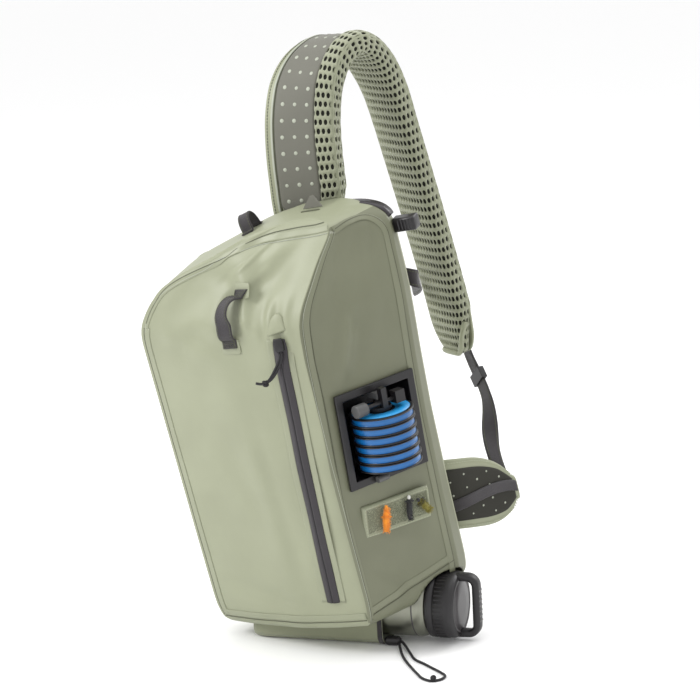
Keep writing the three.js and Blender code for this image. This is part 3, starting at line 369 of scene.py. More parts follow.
def flat_section(width, thick, lift=0.0, edge=0.35):
    """A band's section with rounded edges, lifted off its path."""
    half = width / 2
    r = min(edge, 0.49) * thick
    corners = [(half - r, lift), (half, lift + r), (half, lift + thick - r), (half - r, lift + thick)]
    top = [(half * t, lift + thick) for t in (0.5, 0.0, -0.5)]
    base = [(-half * t, lift) for t in (0.5, 0.0, -0.5)]
    return corners + top + [(-a, b) for a, b in corners[::-1]] + base


def round_section(radius, sides=10, lift=0.0):
    angles = [2 * math.pi * i / sides for i in range(sides)]
    return [(radius * math.cos(a), lift + radius * math.sin(a)) for a in angles]


def revolve(profile, sides):
    """Rings of a turned shape along +X from (along, radius) points."""
    rings = []
    for along, radius in profile:
        for i in range(sides):
            angle = 2 * math.pi * i / sides
            rings.append((along, radius * math.cos(angle), radius * math.sin(angle)))
    return np.array(rings)


# The bag's form: heights as shares of HEIGHT, X as shares of HALF_WIDTH and Y of HALF_DEPTH
SECTION_COLUMNS = ("up", "left", "right", "left_seam", "ridge_x", "ridge_y", "right_seam")
SECTIONS = np.array([
    (0.000, -0.930, 0.850, -0.02, 0.34, -0.62, 0.46),
    (0.012, -0.970, 0.880, -0.05, 0.38, -0.68, 0.50),
    (0.035, -0.992, 0.896, -0.07, 0.40, -0.71, 0.53),
    (0.070, -1.000, 0.900, -0.08, 0.41, -0.72, 0.55),
    (0.250, -1.000, 0.910, -0.09, 0.41, -0.73, 0.58),
    (0.450, -1.000, 0.930, -0.09, 0.41, -0.73, 0.60),
    (0.600, -1.000, 0.960, -0.09, 0.42, -0.73, 0.62),
    (0.700, -1.000, 0.985, -0.09, 0.42, -0.72, 0.63),
    (0.770, -1.000, 1.000, -0.09, 0.43, -0.69, 0.64),
    (0.800, -0.985, 1.003, -0.09, 0.44, -0.64, 0.64),
    (0.830, -0.935, 1.005, -0.08, 0.47, -0.54, 0.65),
    (0.870, -0.830, 1.005, -0.08, 0.53, -0.40, 0.66),
    (0.905, -0.690, 1.005, -0.06, 0.58, -0.28, 0.68),
    (0.930, -0.500, 1.003, -0.05, 0.62, -0.18, 0.70),
    (0.955, -0.240, 0.985, -0.03, 0.67, -0.10, 0.72),
    (0.975, -0.090, 0.930, -0.01, 0.70, -0.02, 0.74),
    (0.990, 0.060, 0.820, 0.02, 0.68, 0.05, 0.72),
    (1.000, 0.260, 0.660, 0.10, 0.58, 0.12, 0.60),
])
COLUMN_SIZES = {"left": HALF_WIDTH, "right": HALF_WIDTH, "left_seam": HALF_DEPTH, "ridge_x": HALF_WIDTH,
                "ridge_y": HALF_DEPTH, "right_seam": HALF_DEPTH}
FRONT_FULLNESS = 0.95
SIDE_SWELL = 0.012
CORNER_RADIUS = 14.0

# Dents and swells: panel, place across and up, width, height, depth in mm, inwards positive
DENTS = [
    ("front", 0.76, 0.885, 0.085, 0.034, 10.0), ("front", 0.30, 0.875, 0.12, 0.040, 3.2),
    ("front", 0.66, 0.72, 0.07, 0.045, 3.4), ("front", 0.50, 0.62, 0.10, 0.080, -2.6),
    ("front", 0.30, 0.30, 0.16, 0.120, 2.6), ("front", 0.58, 0.20, 0.07, 0.150, -2.2),
    ("front", 0.95, 0.80, 0.05, 0.050, 3.4), ("side", 0.40, 0.83, 0.20, 0.060, 4.2),
    ("side", 0.16, 0.70, 0.07, 0.060, 4.5), ("side", 0.62, 0.64, 0.16, 0.050, 2.4),
    ("side", 0.50, 0.09, 0.22, 0.050, 3.4),
]
# Folds: panel, start across and up, end across and up, half width in mm, depth in mm, inwards positive
FOLDS = [
    ("front", 0.10, 0.965, 0.46, 0.925, 6, -3.6), ("front", 0.42, 0.930, 0.62, 0.880, 6, -5.6),
    ("front", 0.60, 0.885, 0.70, 0.790, 6, -5.0), ("front", 0.50, 0.870, 0.60, 0.780, 7, 3.6),
    ("front", 0.83, 0.845, 0.90, 0.740, 4, 2.4), ("front", 0.90, 0.850, 0.95, 0.730, 4, -2.6),
    ("front", 0.76, 0.850, 0.80, 0.760, 4, 2.0), ("front", 0.30, 0.800, 0.56, 0.740, 8, 1.8),
    ("front", 0.08, 0.880, 0.22, 0.760, 9, -1.8), ("front", 0.62, 0.55, 0.66, 0.10, 8, 1.6),
    ("front", 0.20, 0.72, 0.44, 0.80, 9, 1.5), ("front", 0.10, 0.14, 0.60, 0.06, 9, 1.4),
    ("front", 0.90, 0.50, 0.90, 0.20, 5, 1.4), ("front", 0.40, 0.50, 0.52, 0.30, 14, 1.4),
    ("side", 0.46, 0.780, 0.28, 0.620, 9, -5.0), ("side", 0.20, 0.92, 0.55, 0.72, 8, 1.8),
    ("side", 0.10, 0.30, 0.80, 0.16, 9, 1.3), ("side", 0.70, 0.95, 0.85, 0.70, 8, 1.6),
    ("side", 0.10, 0.16, 0.50, 0.05, 7, 2.0),
]


def column(name, z):
    """A section column in mm at heights z, smoothed so that it has no corners between its rows."""
    size = COLUMN_SIZES[name]
    values = SECTIONS[:, SECTION_COLUMNS.index(name)]
    heights = SECTIONS[:, 0] * HEIGHT
    reach = np.linspace(-1, 1, 9)
    total = 0.0
    for share in reach:
        soft = 7.0 * np.clip(np.minimum(z, HEIGHT - z) / 14.0, 0, 1)
        total = total + np.interp(z + share * soft, heights, values)
    return total / len(reach) * size


def relief(panel, across, z, width):
    sum_depth = np.zeros(np.broadcast(across, z).shape)
    up = z / HEIGHT
    for where, a, u, wide, tall, deep in DENTS:
        if where == panel:
            sum_depth += deep * np.exp(-(((across - a) / wide) ** 2 + ((up - u) / tall) ** 2) / 2)
    for where, a0, u0, a1, u1, half, deep in FOLDS:
        if where == panel:
            x, y = (across - a0) * width, (up - u0) * HEIGHT
            dx, dy = (a1 - a0) * width, (u1 - u0) * HEIGHT
            long = math.hypot(dx, dy)
            t = (x * dx + y * dy) / long ** 2
            off = np.abs(x * dy - y * dx) / long
            fade = smoothstep(t, -0.15, 0.25) * (1 - smoothstep(t, 0.75, 1.15))
            crest = np.exp(-(off / half) ** 2)
            trough = np.exp(-((off - 2 * half) / half) ** 2)
            sum_depth += deep * fade * (crest - 0.35 * trough)
    waves = np.sin(across * 9.0 + up * 7.0) * np.sin(up * 17.0 - across * 5.0)
    waves = waves + 0.5 * np.sin(across * 21.0 - up * 29.0)
    sum_depth += 0.45 * waves
    return sum_depth * np.sin(np.pi * np.clip(across, 0, 1)) ** 0.6


def front_point(across, z):
    left, ridge = column("left", z), column("ridge_x", z)
    fullness = np.sin(across * np.pi / 2) ** FRONT_FULLNESS
    y = column("left_seam", z) + (column("ridge_y", z) - column("left_seam", z)) * fullness
    x = left + (ridge - left) * across
    return np.stack([x, y + relief("front", across, z, 185.0), z + 0 * x], axis=-1)


def side_point(across, z):
    x0, y0 = column("ridge_x", z), column("ridge_y", z)
    x1, y1 = column("right", z), column("right_seam", z)
    long = np.hypot(x1 - x0, y1 - y0)
    out = np.stack([(y1 - y0) / long, -(x1 - x0) / long], axis=-1)
    dented = relief("side", across, z, 125.0) * port_calm(across, z)
    swell = long * SIDE_SWELL * np.sin(np.pi * across) - dented
    x = x0 + (x1 - x0) * across + out[..., 0] * swell
    y = y0 + (y1 - y0) * across + out[..., 1] * swell
    return np.stack([x, y, z + 0 * x], axis=-1)


def port_calm(across, z):
    """Nothing dents the panel under the port's plate."""
    return 1 - np.exp(-(((across - PORT_ACROSS) / 0.42) ** 4 + ((z - PORT_UP) / 62.0) ** 4))


def panel_frame(point, across, z):
    """Middle, right along the panel, up it and out of it."""
    across, z = float(across), float(z)
    step, rise = 0.02, 4.0
    middle = point(np.array(across), np.array(z))
    right = unit(point(np.array(across + step), np.array(z))
                 - point(np.array(across - step), np.array(z)))
    up = unit(point(np.array(across), np.array(z + rise)) - point(np.array(across), np.array(z - rise)))
    out = unit(np.cross(right, up))
    return middle, right, np.cross(out, right), out


# The loop of the bag's outline at height z, from the back right corner round by the left and the front
BACK_STEPS, CORNER_STEPS, LEFT_STEPS, FRONT_STEPS, SIDE_STEPS, GUSSET_STEPS = 18, 8, 12, 112, 64, 10


def bag_loop(z, inset=0.0):
    left, right = column("left", z), column("right", z)
    corner = min(CORNER_RADIUS, (right - left) / 5)
    points = []
    for i in range(CORNER_STEPS + 1):
        a = math.radians(90 * i / CORNER_STEPS)
        points.append((right - corner * (1 - math.cos(a)), HALF_DEPTH - corner * (1 - math.sin(a))))
    for i in range(1, BACK_STEPS):
        points.append((right - corner + (left + 2 * corner - right) * i / BACK_STEPS, HALF_DEPTH))
    for i in range(CORNER_STEPS + 1):
        a = math.radians(90 * i / CORNER_STEPS)
        points.append((left + corner * (1 - math.sin(a)), HALF_DEPTH - corner * (1 - math.cos(a))))
    seam = column("left_seam", z)
    for i in range(1, LEFT_STEPS):
        points.append((left, HALF_DEPTH - corner + (seam - HALF_DEPTH + corner) * i / LEFT_STEPS))
    front = front_point(np.linspace(0, 1, FRONT_STEPS + 1), np.full(FRONT_STEPS + 1, float(z)))
    side = side_point(np.linspace(0, 1, SIDE_STEPS + 1)[1:], np.full(SIDE_STEPS, float(z)))
    points += [tuple(p[:2]) for p in front] + [tuple(p[:2]) for p in side]
    seam = side[-1]
    for i in range(1, GUSSET_STEPS):
        points.append((seam[0] + (right - seam[0]) * i / GUSSET_STEPS,
                       seam[1] + (HALF_DEPTH - corner - seam[1]) * i / GUSSET_STEPS))
    loop = np.array(points)
    if inset:
        before, after = unit(loop - np.roll(loop, 1, 0) + 1e-9), unit(np.roll(loop, -1, 0) - loop + 1e-9)
        inward = unit(np.stack([-(before + after)[:, 1], (before + after)[:, 0]], axis=-1) + 1e-9)
        loop = loop + inward * inset
    return loop


def loft_loops(heights, inset=0.0, drop=0.0):
    rings = []
    for z in heights:
        loop = bag_loop(z, inset)
        rings.append(np.column_stack([loop, np.full(len(loop), max(WALL, z - drop) if drop else z)]))
    count = len(rings[0])
    return capped(np.vstack(rings), count), ring_faces(len(rings), count)


def sleeve_section(grow, share=1.0):
    """The sleeve's outline in Y and Z: a round top over a flattened base."""
    radius, half, fillet = SLEEVE_RADIUS + grow, SLEEVE_FLAT / 2, SLEEVE_RADIUS - SLEEVE_FLAT / 2
    outline = []
    for i in range(37):
        a = math.radians(5 * i)
        outline.append((math.cos(a) * radius, SLEEVE_RADIUS + math.sin(a) * radius))
    for i in range(1, 13):
        a = math.radians(180 + 90 * i / 12)
        outline.append((-half + math.cos(a) * (fillet + grow), fillet + math.sin(a) * (fillet + grow)))
    for i in range(0, 12):
        a = math.radians(270 + 90 * i / 12)
        outline.append((half + math.cos(a) * (fillet + grow), fillet + math.sin(a) * (fillet + grow)))
    return [(SLEEVE_Y + y * share, -grow + (z + grow) * share) for y, z in outline]


def carve(obj, tools):
    """Cuts the tools out of obj for good and removes them."""
    for tool in tools:
        cut = obj.modifiers.new("cut", "BOOLEAN")
        cut.operation = "DIFFERENCE"
        cut.solver = "EXACT"
        cut.object = tool
    graph = bpy.context.evaluated_depsgraph_get()
    mesh = bpy.data.meshes.new_from_object(obj.evaluated_get(graph))
    obj.modifiers.clear()
    old = obj.data
    obj.data = mesh
    mesh.name = obj.name
    bpy.data.meshes.remove(old)
    for tool in tools:
        for child in list(tool.children):
            bpy.data.objects.remove(child)
        bpy.data.objects.remove(tool)


def box_points(size, matrix):
    """Corners and faces of a box of that size centred on a matrix, in millimetres."""
    corners = [(x, y, z) for x in (-0.5, 0.5) for y in (-0.5, 0.5) for z in (-0.5, 0.5)]
    points = [tuple(matrix @ Vector((x * size[0], y * size[1], z * size[2]))) for x, y, z in corners]
    return points, [(0, 1, 3, 2), (4, 6, 7, 5), (0, 4, 5, 1), (2, 3, 7, 6), (0, 2, 6, 4), (1, 5, 7, 3)]


port_middle, port_right, port_up, port_out = panel_frame(side_point, PORT_ACROSS, PORT_UP)
PORT = (
    Matrix.Translation(Vector(port_middle))
    @ Matrix((Vector(port_right), Vector(port_up), Vector(port_out))).transposed().to_4x4()
    @ Matrix.Rotation(math.radians(PORT_TILT), 4, "Z")
)


# Curves, and the stock of small shapes that lie on the panels
def spline(points, count):
    """Points at even lengths along a centripetal Catmull-Rom curve through the given ones."""
    p = np.asarray(points, dtype=float)
    p = np.vstack([2 * p[0] - p[1], p, 2 * p[-1] - p[-2]])
    fine = []
    for i in range(1, len(p) - 2):
        a, b, c, d = p[i - 1:i + 3]
        t0 = 0.0
        t1 = t0 + np.linalg.norm(b - a) ** 0.5
        t2 = t1 + np.linalg.norm(c - b) ** 0.5
        t3 = t2 + np.linalg.norm(d - c) ** 0.5
        for t in np.linspace(t1, t2, 24, endpoint=False):
            ab = a + (b - a) * (t - t0) / (t1 - t0)
            bc = b + (c - b) * (t - t1) / (t2 - t1)
            cd = c + (d - c) * (t - t2) / (t3 - t2)
            abc = ab + (bc - ab) * (t - t0) / (t2 - t0)
            bcd = bc + (cd - bc) * (t - t1) / (t3 - t1)
            fine.append(abc + (bcd - abc) * (t - t1) / (t2 - t1))
    fine = np.array(fine + [p[-2]])
    gone = lengths_along(fine)
    even = np.linspace(0, gone[-1], count)
    return np.stack([np.interp(even, gone, fine[:, k]) for k in range(3)], axis=-1), gone[-1]


def ways(path):
    return unit(np.gradient(path, axis=0))


def tube_places(path, side=(0.0, 0.0, 1.0)):
    """Places along a path whose right and out don't spin."""
    along = ways(path)
    right = unit(np.cross(along[0], side))
    places = []
    for middle, way in zip(path, along):
        right = unit(right - way * np.dot(right, way))
        places.append((middle, right, np.cross(way, right)))
    return places


def panel_places(point, rows):
    """Places on a panel at (across, z) rows, with right across the run of the rows."""
    spots = [panel_frame(point, across, z) for across, z in rows]
    path = np.array([spot[0] for spot in spots])
    along = ways(path)
    places = []
    for spot, way in zip(spots, along):
        middle, out = spot[0], spot[3]
        places.append((middle, unit(np.cross(out, way)), out))
    return places


def slab(name, outline, place, low, high, materials, matrix=BAG, edge=0.6, **more):
    """A plate of an outline of (side, along) points, its top edge rounded off."""
    middle, right, up, out = place
    levels = [(low, 0.0), (high - edge, 0.0), (high - edge * 0.3, edge * 0.3), (high, edge)]
    flat = np.array(outline, dtype=float)
    centre = flat.mean(axis=0)
    reach = unit(flat - centre)
    rings = []
    for height, inset in levels:
        for x, y in flat - reach * inset:
            rings.append(middle + right * x + up * y + out * height)
    count = len(flat)
    return piece(name, capped(rings, count), ring_faces(len(levels), count), matrix, materials, **more)


def rounded(width, height, radius, steps=5):
    outline = []
    for x, y, start in ((1, 1, 0), (-1, 1, 90), (-1, -1, 180), (1, -1, 270)):
        for i in range(steps + 1):
            angle = math.radians(start + 90 * i / steps)
            outline.append((x * (width / 2 - radius) + radius * math.cos(angle),
                            y * (height / 2 - radius) + radius * math.sin(angle)))
    return outline


def rounded_box(name, size, radius, place, materials, matrix=BAG, **more):
    """A box of width, height and thickness with rounded corners, centred on a place."""
    width, height, thick = size
    return slab(name, rounded(width, height, radius), place, -thick / 2, thick / 2, materials, matrix,
                edge=min(radius, thick) * 0.4, **more)


def capsule(name, length, radius, middle, axis, materials, matrix=BAG, sides=16, **more):
    way = unit(axis)
    path = np.array([middle + way * (length / 2 + radius) * t for t in np.linspace(-1, 1, 15)])
    half = length / 2 + radius

    def ring(t):
        x = (2 * t - 1) * half
        over = max(0.0, abs(x) - length / 2)
        return round_section(max(0.02, math.sqrt(max(0.0, radius ** 2 - over ** 2))), sides)
    return sweep(name, tube_places(path, (0.31, 0.2, 0.9)), ring, materials, matrix, **more)


def repeat(name, matrices, width, height, length, paint, shape="bar", body=BODY, seed=7, jitter=0.0):
    """Many small bars, dots or threads at matrices, spread by a Geometry Nodes tree and realized."""
    base = bpy.data.meshes.new(name)
    base.from_pydata([tuple(m.to_translation() * MM) for m in matrices], [], [])
    turns = base.attributes.new("turn", "FLOAT_VECTOR", "POINT")
    turns.data.foreach_set("vector", [a for m in matrices for a in m.to_euler()])
    obj = bpy.data.objects.new(name, base)
    bpy.context.scene.collection.objects.link(obj)
    tree = bpy.data.node_groups.new(name + "_spread", "GeometryNodeTree")
    tree.interface.new_socket("Geometry", in_out="INPUT", socket_type="NodeSocketGeometry")
    for label, value in (("Width", width), ("Height", height), ("Length", length), ("Jitter", jitter)):
        socket = tree.interface.new_socket(label, in_out="INPUT", socket_type="NodeSocketFloat")
        socket.default_value = value if label == "Jitter" else value * MM
    tree.interface.new_socket("Geometry", in_out="OUTPUT", socket_type="NodeSocketGeometry")
    make, join = tree.nodes.new, tree.links.new
    given, out = make("NodeGroupInput"), make("NodeGroupOutput")
    size = make("ShaderNodeCombineXYZ")
    join(given.outputs["Width"], size.inputs["X"])
    join(given.outputs["Length"], size.inputs["Y"])
    join(given.outputs["Height"], size.inputs["Z"])
    if shape == "bar":
        unit_shape = make("GeometryNodeMeshCube")
        shape_out = unit_shape.outputs["Mesh"]
        join(size.outputs["Vector"], unit_shape.inputs["Size"])
    else:
        unit_shape = make("GeometryNodeMeshIcoSphere")
        unit_shape.inputs["Radius"].default_value = 0.5
        unit_shape.inputs["Subdivisions"].default_value = 2
        shaped = make("GeometryNodeTransform")
        join(unit_shape.outputs["Mesh"], shaped.inputs["Geometry"])
        join(size.outputs["Vector"], shaped.inputs["Scale"])
        shape_out = shaped.outputs["Geometry"]
    turn = make("GeometryNodeInputNamedAttribute")
    turn.data_type = "FLOAT_VECTOR"
    turn.inputs["Name"].default_value = "turn"
    chance = make("FunctionNodeRandomValue")
    chance.data_type = "FLOAT"
    chance.inputs["Seed"].default_value = seed
    low = make("ShaderNodeMath")
    low.operation = "SUBTRACT"
    low.inputs[0].default_value = 1.0
    join(given.outputs["Jitter"], low.inputs[1])
    join(low.outputs["Value"], chance.inputs[2])
    chance.inputs[3].default_value = 1.0
    spread = make("GeometryNodeInstanceOnPoints")
    join(given.outputs["Geometry"], spread.inputs["Points"])
    join(shape_out, spread.inputs["Instance"])
    join([o for o in turn.outputs if o.enabled][0], spread.inputs["Rotation"])
    join(chance.outputs[1], spread.inputs["Scale"])
    real = make("GeometryNodeRealizeInstances")
    join(spread.outputs["Instances"], real.inputs["Geometry"])
    colour = make("GeometryNodeSetMaterial")
    colour.inputs["Material"].default_value = paint
    join(real.outputs["Geometry"], colour.inputs["Geometry"])
    join(colour.outputs["Geometry"], out.inputs["Geometry"])
    spreader = obj.modifiers.new("spread", "NODES")
    spreader.node_group = tree
    graph = bpy.context.evaluated_depsgraph_get()
    mesh = bpy.data.meshes.new_from_object(obj.evaluated_get(graph))
    obj.modifiers.clear()
    obj.data = mesh
    mesh.name = name
    bpy.data.meshes.remove(base)
    mesh.polygons.foreach_set("use_smooth", [shape != "bar"] * len(mesh.polygons))
    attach(obj, body)
    return obj


def frame_matrix(middle, right, up, out, matrix=BAG):
    turn = Matrix((Vector(right), Vector(up), Vector(out))).transposed().to_4x4()
    return matrix @ Matrix.Translation(Vector(middle)) @ turn


def stitch_row(path, outs, pitch, lift, matrix=BAG):
    """Matrices of stitches at even steps of a path, lying along it."""
    path = np.asarray(path)
    gone = lengths_along(path)
    steps = np.arange(pitch / 2, gone[-1], pitch)
    found = []
    for s in steps:
        middle = np.array([np.interp(s, gone, path[:, k]) for k in range(3)])
        ahead = np.array([np.interp(s + 0.5, gone, path[:, k]) - np.interp(s - 0.5, gone, path[:, k])
                          for k in range(3)])
        out = unit(np.array([np.interp(s, gone, np.asarray(outs)[:, k]) for k in range(3)]))
        along = unit(ahead + 1e-9)
        right = unit(np.cross(along, out))
        out = np.cross(right, along)
        found.append(frame_matrix(middle + out * lift, right, along, out, matrix))
    return found


STITCH_SIZE = (0.7, 0.5, 2.3)
STITCH_PITCH = 3.2


# Cords: the sleeve's drawcord in the row's frame, and the front zip's pull from its slider
CORD_RADIUS = 1.35
DRAWCORD = [
    (62.9, -3.3, 5.0), (70, -13, 3.4), (80, -29, 1.8), (90, -45, 1.4), (103, -56, 1.4), (115, -67, 1.4),
    (126, -77, 1.4), (134, -87, 1.4), (133, -97, 1.4), (125, -103, 1.4), (115, -98, 1.4), (105, -85, 1.4),
    (94, -69, 1.4), (83, -52, 1.4), (74, -36, 1.8), (66.5, -20, 3.4), (61.2, -7.4, 5.0),
]
# Pull cord: side, along and lift from the slider, with its tail past the knot
PULL = [
    (0.0, -8, 5.2), (-1, -12, 6.5), (-4, -17, 6.6), (-8, -22, 6.0), (-12, -27, 5.6), (-16, -31, 5.6),
    (-20.2, -33.5, 5.6), (-25, -33.2, 5.2), (-29.5, -32.0, 4.4),
]
KNOT_SPOT = 6
DRAWCORD_KNOT_RADIUS = 3.4
PULL_KNOT_RADIUS = 3.6
DRAWCORD_KNOT = np.array([127.0, -101.5, 3.3])
SECOND_STRAND_BESIDE = 2.9
SECOND_STRAND_START = 1.6
ZIP_TOP = 0.762 * HEIGHT
ZIP_LOW = 0.077 * HEIGHT


def zip_row(t):
    return 0.88 - 0.073 * t, ZIP_TOP + (ZIP_LOW - ZIP_TOP) * t


def make_cord(name, points, count, matrix, node):
    path, length = spline(points, count)
    tube = sweep(name, tube_places(path, (0.2, 0.3, 0.9)), round_section(CORD_RADIUS, 12), CORD, matrix,
                 replaces=(node,), slot="cord")
    return path


def knot(name, middle, way, radius, matrix, node=None):
    """An overhand knot: a fat trefoil of cord pulled tight."""
    way = unit(way)
    side = unit(np.cross(way, (0.3, 0.2, 0.9)))
    rise = np.cross(way, side)
    turns = np.linspace(0, 2 * math.pi, 61)[:-1]
    path = []
    for a in turns:
        around = (2 + math.cos(3 * a)) / 3 * radius * 0.66
        path.append(middle + side * around * math.cos(2 * a) + rise * around * math.sin(2 * a)
                    + way * math.sin(3 * a) * radius * 0.42)
    places = tube_places(np.array(path), (0.1, 0.5, 0.8))
    more = {"replaces": (node,)} if node else {}
    return sweep(name, places, round_section(CORD_RADIUS * 0.98, 10), CORD, matrix, closed=True,
                 slot="cord", **more)


def make_cords():
    tip = knot("drawcord_knot", DRAWCORD_KNOT, (0.8, 0.6, 0), DRAWCORD_KNOT_RADIUS, ROW)
    make_cord("drawcord_tube", DRAWCORD, 190, ROW, "drawcord")
    middle, right, up, out = panel_frame(front_point, *zip_row(0.02))
    points = [middle + right * side + up * along + out * lift for side, along, lift in PULL]
    tie = knot("pull_knot", points[KNOT_SPOT], points[KNOT_SPOT + 1] - points[KNOT_SPOT - 1],
               PULL_KNOT_RADIUS, BAG, "zip_pull_knot")
    second = []
    for i, point in enumerate(points[:KNOT_SPOT]):
        bow = math.sin(math.pi * i / KNOT_SPOT) ** 0.5
        second.append(point + right * SECOND_STRAND_BESIDE * bow + out * 0.4)
    second.append(points[KNOT_SPOT])
    second[0] = second[0] + right * SECOND_STRAND_START
    strand = sweep("pull_second_strand", tube_places(spline(second, 40)[0], (0.2, 0.3, 0.9)),
                   round_section(CORD_RADIUS * 0.9, 12), CORD, BAG, slot="cord")
    make_cord("pull_cord", points, 60, BAG, "zip_pull_cord")


make_cords()


# The shell: heights of its loops, closest at the base and the top, and where the painted shade on its
# side ends
PORT_BORDER = 11.5
SHELL_BASE_LOOPS = [0, 1.5, 3.2, 5.5, 8.5]
SHADE_PAINT_TOP = 392


def make_shell():
    heights = SHELL_BASE_LOOPS + list(np.linspace(12, 300, 104)) + list(np.linspace(303, 400, 62))
    points, faces = loft_loops(heights)
    count = len(bag_loop(100.0))
    first_side = 2 * (CORNER_STEPS + 1) + (BACK_STEPS - 1) + (LEFT_STEPS - 1) + FRONT_STEPS
    last_side = first_side + SIDE_STEPS + GUSSET_STEPS
    paints = []
    # the side panel and the gusset below the top take the darker sage, which is painted shade
    for z in heights[:-1]:
        for j in range(count):
            paints.append(1 if first_side <= j < last_side and z < SHADE_PAINT_TOP else 0)
    paints += [0] * (len(faces) - len(paints))
    shell = piece("bag_shell", points, faces, BAG, [SAGE, SHADED_SAGE], face_paint=paints,
                  replaces=("body_shell",), slot="coated_fabric")
    inner = piece("cut_inside", *loft_loops(np.linspace(6, 400, 40), WALL, WALL), BAG, SAGE)
    ring = np.array(sleeve_section(0.5))
    far = HALF_WIDTH * 1.6
    near = SLEEVE_LEFT - 0.5
    rows = np.vstack([
        np.column_stack([np.full(len(ring), near), ring]),
        np.column_stack([np.full(len(ring), far), ring]),
        [[near, *ring.mean(axis=0)]], [[far, *ring.mean(axis=0)]],
    ])
    recess = piece("cut_recess", rows, ring_faces(2, len(ring)), ROW, SAGE)
    hole_size = (PORT_WIDTH - PORT_BORDER, PORT_HEIGHT - PORT_BORDER, 30)
    hole = piece("cut_port", *box_points(hole_size, PORT), BAG, SAGE)
    carve(shell, [inner, recess, hole])
    # the skin that the cut leaves in the port's opening comes out by face
    back = (BAG @ PORT).inverted()
    half = (hole_size[0] / 2, hole_size[1] / 2)
    work = bmesh.new()
    work.from_mesh(shell.data)
    inside = []
    for face in work.faces:
        spot = back @ (face.calc_center_median() / MM)
        if abs(spot.x) < half[0] - 0.2 and abs(spot.y) < half[1] - 0.2 and abs(spot.z) < 14:
            inside.append(face)
    bmesh.ops.delete(work, geom=inside, context="FACES")
    work.to_mesh(shell.data)
    work.free()


make_shell()


# Welded tapes and seam lines along the shell's edges
def seam_rows(corners, count=110):
    """Rows (across, z) at even steps along a smooth line through the corners."""
    scaled, _ = spline([(across * 100.0, z, 0.0) for across, z in corners], count)
    return [(float(np.clip(a / 100.0, 0.004, 0.996)), float(z)) for a, z, _ in scaled]


RIDGE_LINE = [(0.012, 6), (0.012, 60), (0.014, 110), (0.06, 200), (0.095, 290), (0.10, 345), (0.10, 388)]
TOP_LINE = [(0.99, 397), (0.85, 396), (0.60, 396), (0.27, 394), (0.13, 387), (0.16, 380), (0.09, 372),
            (0.035, 362), (0.03, 345), (0.03, 326)]
RIGHT_LINE = [(0.12, 389), (0.45, 391), (0.78, 387), (0.92, 374), (0.955, 350), (0.955, 200), (0.955, 16)]


TAPE_WIDTH = 7.0
SEAM_WIDTH = 0.8
TAPE_EDGE_WIDTH = 0.5


def make_tapes():
    tape = flat_section(TAPE_WIDTH, 0.5, 0.0, 0.3)
    line = flat_section(SEAM_WIDTH, 0.35, 0.3, 0.3)
    fine = flat_section(TAPE_EDGE_WIDTH, 0.3, 0.3, 0.3)
    for name, point, rows, shift in (
        ("ridge", side_point, seam_rows(RIDGE_LINE), (-0.035, 0.0)),
        ("top", front_point, seam_rows(TOP_LINE), (0.0, -4.5)),
        ("right", side_point, seam_rows(RIGHT_LINE), (-0.03, -1.0)),
        ("left", front_point, [(0.022, z) for z in np.linspace(10, 322, 100)], (0.02, 0.0)),
        ("base", side_point, [(a, 12 + 14 * a) for a in np.linspace(0.03, 0.96, 50)], (0.0, 5.0)),
        ("base_front", front_point, [(a, 8.0) for a in np.linspace(0.02, 0.98, 60)], (0.0, 5.0)),
    ):
        sweep(name + "_seam", panel_places(point, rows), line, SEAM, slot="coated_fabric")
        beside = [(float(np.clip(a + shift[0], 0.006, 0.994)), z + shift[1]) for a, z in rows]
        # tapes on the side panel take the darker tape colour, which is painted shade
        paint = SHADED_TAPE if point is side_point else TAPE
        sweep(name + "_tape", panel_places(point, beside), tape, paint, slot="coated_fabric")
        far = [(float(np.clip(a + 2 * shift[0], 0.006, 0.994)), z + 2 * shift[1]) for a, z in rows]
        if name in ("ridge", "top"):
            sweep(name + "_tape_edge", panel_places(point, far), fine, BRIGHT, slot="coated_fabric")


make_tapes()


# Front pocket's zip with its hood and slider
ZIP_WIDTH = 14.0
ZIP_THICK = 2.2
ZIP_LIFT = 0.8


def groove_paint(rings, count):
    """Paint numbers of a zip's faces: the line where its teeth close is darker."""
    sides = [1 if j % count in (4, 5, 6) else 0 for j in range((rings - 1) * count)]
    return sides + [0] * (2 * count)


def make_front_zip():
    rows = [zip_row(t) for t in np.linspace(0, 1, 90)]
    places = panel_places(front_point, rows)
    low = ZIP_LIFT - 0.9
    half, thick = ZIP_WIDTH / 2, ZIP_THICK + 0.9
    flank = [(half, low), (half, low + 1.0), (half - 1.0, low + 1.6), (2.4, low + thick - 0.3),
             (0.55, low + thick), (0.25, low + thick - 1.1)]
    section = flank + [(-a, b) for a, b in flank[::-1]]
    paint = groove_paint(len(places), len(section))
    sweep("front_zip_tape", places, section, [ZIP, ZIP_LINE], face_paint=paint, replaces=("front_zip",),
          slot="zip_tape")
    for side, name in ((1, "right"), (-1, "left")):
        edge = [(m + r * side * (half + 3.2), r, o) for m, r, o in places]
        sweep("front_zip_border_" + name, edge, flat_section(6.4, 0.6, 0.0, 0.3), TAPE,
              slot="coated_fabric")
    middle, right, up, out = panel_frame(front_point, *zip_row(0.02))
    lift = ZIP_LIFT + ZIP_THICK + 0.3 + 2.0
    rounded_box("front_zip_runner", (9, 13, 4), 2.4, (middle + out * lift, right, up, out), BLACK,
                replaces=("front_zip_slider",), slot="black_plastic")
    middle, right, up, out = panel_frame(front_point, 0.87, ZIP_TOP + 13)
    outline = [(-11, -10), (-6, -9.6), (0, -8.6), (5, -7.4), (9, -6), (8.4, -2), (7.2, 3), (6, 8),
               (3.4, 10), (0, 11), (-3, 9), (-6, 6), (-8.6, 0), (-10.4, -5)]
    slab("front_zip_cap", outline, (middle, right, up, out), -1.2, 3.4, SAGE, edge=1.8,
         replaces=("front_zip_hood",), slot="coated_fabric")


make_front_zip()


